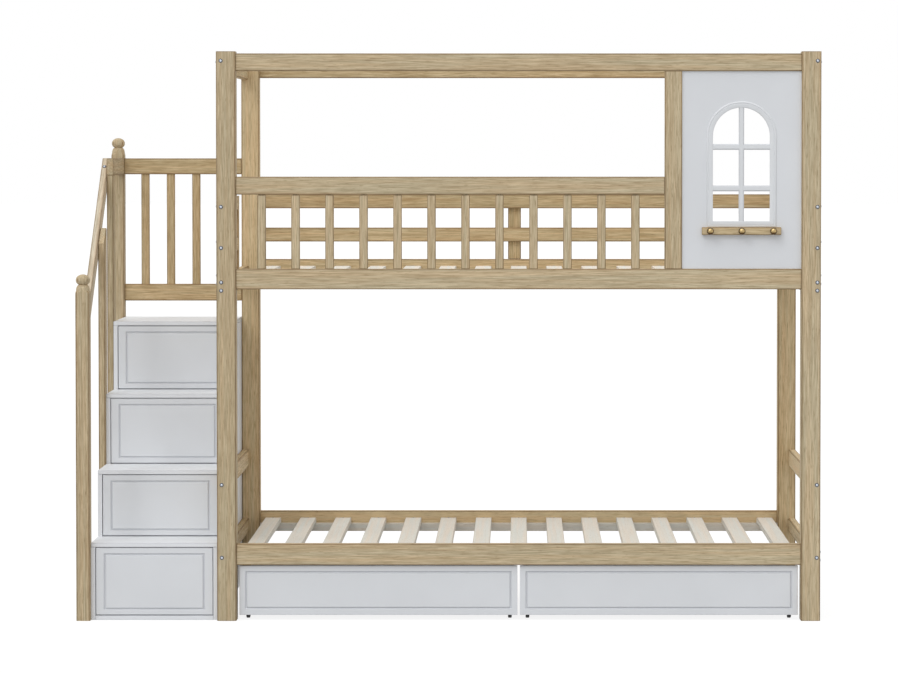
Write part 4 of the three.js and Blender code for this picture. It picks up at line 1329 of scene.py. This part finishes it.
@dataclass
class BedDrawer(Drawer):
    """A drawer on casters under the lower bunk."""

    side: str = "left"
    thickness: float = 0.016
    bottom: float = 0.018
    box_inset: float = 0.010
    box_bottom: float = 0.040
    headroom: float = 0.041
    insets: Triple = (0.023, 0.0225, 0.0235)  # from the sides, the top and the bottom
    cheek: Pair = (0.0025, 0.016)  # thickness and width
    cheek_gap: float = 0.0006
    cheek_drop: float = 0.005
    cheek_edging: Edging = Edging(0.001, 0.0004, 2)
    axle: float = 0.003
    axle_play: float = 0.00012
    axle_steps: int = 16
    # Each point of the wheel: its radius, or how far inside the rim it lies, and how far in from the side.
    hub: tuple[Pair, ...] = ((0.006, 0.0), (0.0066, 0.0012))
    tread: tuple[Pair, ...] = (
        (0.005, 0.0018), (0.0036, 0.0004), (0.0028, 0.0), (0.0014, 0.0005), (0.0004, 0.0016), (0.0, 0.003))
    wheel_steps: int = 32

    def build(self) -> None:
        """Makes the drawer, its caster housings and its four wheels."""
        node = f"bed_drawer_{self.side}"
        room = Room.of(node)
        face = room.low.y + self.thickness
        work = Workpiece(f"{node}_white")
        self.front(work, room.cut(y=(room.low.y, face), z=(self.bottom, room.high.z)), self.insets)
        box = room.cut(x=inset(room.span("x"), self.box_inset), y=(face, room.high.y),
                       z=(self.box_bottom, room.high.z - self.headroom))
        self.box(work, box, 0)
        wheels = [f"{self.side}_wheel_{row}_{end}" for row in ("front", "back") for end in ("left", "right")]
        for wheel in wheels:
            self.housing(work, Room.of(wheel))
        work.done(node, [node])
        for wheel in wheels:
            self.wheel(wheel)

    def housing(self, work: Workpiece, wheel: Room) -> None:
        """Makes a caster's two cheeks and its axle pin."""
        wall, width = self.cheek
        middle = wheel.centre
        y = about(middle.y, width)
        z = (middle.z - self.cheek_drop, self.box_bottom)
        for side in (-1, 1):
            near = middle.x + side * (wheel.size.x / 2 + self.cheek_gap)
            x = tuple(sorted((near, near + side * wall)))
            work.board(wheel.cut(x=x, y=y, z=z), Grain.Z, BLACK, self.cheek_edging)
        reach = wheel.size.x / 2 + self.cheek_gap + wall / 2
        pin = [(0, 0), (self.axle, 0), (self.axle, 2 * reach), (0, 2 * reach)]
        work.turn(pin, Vector((middle.x - reach, middle.y, middle.z)), X, self.axle_steps)
        work.lay_on(STEEL, X, Y)

    def wheel(self, node: str) -> None:
        """Turns one wheel with a rounded tread and a dished hub."""
        room = Room.of(node)
        rim, width = room.size.z / 2, room.size.x
        half = [(self.axle + self.axle_play, 0.0), *self.hub]
        half += [(rim - drop, height) for drop, height in self.tread]
        profile = half + [(radius, width - height) for radius, height in reversed(half)]
        work = Workpiece(f"{node}_black")
        base = Vector((room.low.x, room.centre.y, room.centre.z))
        work.turn([*profile, profile[0]], base, X, self.wheel_steps)
        work.lay_on(BLACK, X, Y)
        work.done(node, [node])


@dataclass
class BoltHeads(Assembly):
    """The bolts' heads on the posts: they hold the end rails and the long rails."""

    collar: Pair = (0.0068, 0.0012)  # radius and height
    radius: float = 0.0042
    height: float = 0.0034
    socket: float = 0.0012
    edge_insets: Pair = (0.0165, 0.0125)  # on the left posts and on the right ones
    depth_inset: float = 0.0195
    face_levels: tuple[float, ...] = (1.9136, 1.416, 1.276, 1.1584, 1.1304, 0.466, 0.2167)
    side_levels: tuple[float, ...] = (1.910, 1.418, 1.296, 1.182, 1.153, 0.235, 0.206)
    carcass_top: float = 1.0
    # Each point's share of the radius, of the head or of its socket, and of the height.
    crown: tuple[Pair, ...] = ((1, 0.5), (0.93, 0.7), (0.75, 0.9), (0.5, 1))
    recess: tuple[Pair, ...] = ((1.3, 1), (1, 0.92), (1, 0.5), (0, 0.5))
    steps: int = 24

    def build(self) -> None:
        """Makes a piece of bolt heads for each post."""
        for row in ("front", "back"):
            for side in ("left", "right"):
                self.post(row, side)

    def post(self, row: str, side: str) -> None:
        """Makes the heads on one post's outer faces."""
        room = Room.of(f"post_{row}_{side}")
        work = Workpiece(f"bolt_heads_{row}_{side}")
        out, face = (-1, room.low.y) if row == "front" else (1, room.high.y)
        away, outer = (-1, room.low.x) if side == "left" else (1, room.high.x)
        inward = self.edge_insets[0] if side == "left" else self.edge_insets[1]
        for level in self.face_levels:
            self.head(work, Vector((outer - away * inward, face, level)), Y * out)
        for level in self.side_levels:
            if side == "right" or level > self.carcass_top:
                self.head(work, Vector((outer, face - out * self.depth_inset, level)), X * away)
        work.done(FRAME, [])

    def head(self, work: Workpiece, place: Vector, outwards: Vector) -> None:
        """Makes one domed head with its socket, in a collar whose dark steel is partly painted shade round
        the head.

        Args:
            work: the piece that it belongs to.
            place: where it stands on the wood.
            outwards: direction that it looks in.
        """
        width, rise = self.collar
        collar = [(0, -LET_IN), (width, -LET_IN), (width, rise * 0.5), (width * 0.94, rise), (0, rise)]
        dome = [(0, rise * 0.5), (self.radius, rise * 0.5)]
        dome += [(self.radius * share, self.height * level) for share, level in self.crown]
        dome += [(self.socket * share, self.height * level) for share, level in self.recess]
        for profile, metal in ((collar, DARK_STEEL), (dome, STEEL)):
            work.turn(profile, place, outwards, self.steps)
            work.lay_on(metal, outwards, outwards.orthogonal().normalized())


@dataclass
class Studio(Assembly):
    """The floor, the light and the camera."""

    floor_size: float = 120.0
    floor_behind: float = 30.0
    lens: float = 129.4
    sensor: float = 36.0
    camera_place: Triple = (0.2458, -11.5142, 1.5976)
    pitch: float = math.radians(1.572)
    shift: Pair = (-0.0792, -0.105)  # across and up
    sight: float = 300.0
    sun_from: Triple = (-0.25, -0.5, 0.83)
    sun_strength: float = 1.0
    sun_spread: float = math.radians(70)
    spark_from: Triple = (-0.45, -0.6, 0.66)
    spark_strength: float = 0.25
    spark_spread: float = math.radians(10)
    ambient: float = 0.76
    floor_colour: Colour = (0.5, 0.5, 0.5)
    floor_shown: Colour = (0.17, 0.17, 0.17)
    floor_glow: float = 0.88
    white: Colour = (1, 1, 1)

    def build(self) -> None:
        """Makes the studio round the bed."""
        self.floor()
        self.light()
        self.camera()

    def floor(self) -> None:
        """Lays a pale floor that shows white to the camera and keeps the bed's shadow."""
        mesh = bmesh.new()
        bmesh.ops.create_grid(mesh, x_segments=1, y_segments=1, size=self.floor_size / 2)
        bmesh.ops.translate(mesh, vec=Y * self.floor_behind, verts=mesh.verts)
        data = bpy.data.meshes.new("floor")
        mesh.to_mesh(data)
        mesh.free()
        material = bpy.data.materials.new("pale_floor")
        material.use_nodes = True
        graph = Graph(material.node_tree)
        graph.tree.nodes.clear()
        matt = graph.add("ShaderNodeBsdfDiffuse", {"Color": opaque(self.floor_colour)})[0]
        pale = graph.add("ShaderNodeBsdfDiffuse", {"Color": opaque(self.floor_shown)})[0]
        light = {"Color": opaque(self.white), "Strength": self.floor_glow}
        lit = graph.add("ShaderNodeAddShader", {0: pale, 1: graph.add("ShaderNodeEmission", light)[0]})[0]
        shown = graph.add("ShaderNodeMixShader", {0: self.seen_directly(graph), 1: matt, 2: lit})[0]
        graph.add("ShaderNodeOutputMaterial", {"Surface": shown})
        data.materials.append(material)
        floor = bpy.data.objects.new("floor", data)
        bpy.context.scene.collection.objects.link(floor)

    @staticmethod
    def seen_directly(graph: Graph) -> Socket:
        """Gives 1 for rays from the camera, mirrors and glass, and 0 for the light's own."""
        path = graph.add("ShaderNodeLightPath", {})
        mirror = graph.math("MAXIMUM", path["Is Glossy Ray"], path["Is Transmission Ray"])
        return graph.math("MAXIMUM", path["Is Camera Ray"], mirror)

    def light(self) -> None:
        """Sets up a white surround, a broad soft lamp from the upper left and a small one for gloss."""
        world = bpy.data.worlds.new("studio")
        bpy.context.scene.world = world
        world.use_nodes = True
        graph = Graph(world.node_tree)
        graph.tree.nodes.clear()
        level = graph.ramp(self.seen_directly(graph), (0, 1), (self.ambient, 1.0))
        surround = {"Color": opaque(self.white), "Strength": level}
        graph.add("ShaderNodeOutputWorld", {"Surface": graph.add("ShaderNodeBackground", surround)[0]})
        self.lamp("soft_lamp", self.sun_from, self.sun_strength, self.sun_spread)
        self.lamp("small_lamp", self.spark_from, self.spark_strength, self.spark_spread)

    @staticmethod
    def lamp(name: str, comes_from: Triple, strength: float, spread: float) -> None:
        """Hangs one distant lamp.

        Args:
            name: the lamp's name.
            comes_from: direction that its light comes from.
            strength: its strength.
            spread: angle that it fills in the sky.
        """
        lamp = bpy.data.lights.new(name, "SUN")
        lamp.energy = strength
        lamp.angle = spread
        holder = bpy.data.objects.new(name, lamp)
        holder.rotation_euler = Vector(comes_from).to_track_quat("Z", "Y").to_euler()
        bpy.context.scene.collection.objects.link(holder)

    def camera(self) -> None:
        """Puts the camera where the photograph was taken from."""
        data = bpy.data.cameras.new("camera")
        data.lens = self.lens
        data.sensor_width = self.sensor
        data.shift_x, data.shift_y = self.shift
        data.clip_end = self.sight
        holder = bpy.data.objects.new("camera", data)
        holder.location = self.camera_place
        holder.rotation_euler = Euler((math.pi / 2 - self.pitch, 0, 0))
        bpy.context.scene.collection.objects.link(holder)
        bpy.context.scene.camera = holder


def main() -> None:
    """Builds the bed in order, then the studio."""
    logging.basicConfig(level=logging.INFO, format="%(name)s: %(message)s")
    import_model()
    bpy.context.scene.view_settings.view_transform = "Standard"
    # The upper slats are made lighter, as painted light.
    parts: list[Assembly] = [
        BunkFrame(), SlatBase("upper_slat_base", tone=0.6), SlatBase("lower_slat_base"), Guards(),
        WindowPanel(), PegRail(), Staircase(), StairRail(),
        *(StepDrawer(number=number) for number in range(1, 5)),
        *(BedDrawer(side=side) for side in ("left", "right")), BoltHeads(), Studio()]
    for part in parts:
        part.build()
        LOG.info("%s is built", type(part).__name__)


if __name__ == "__main__":
    main()
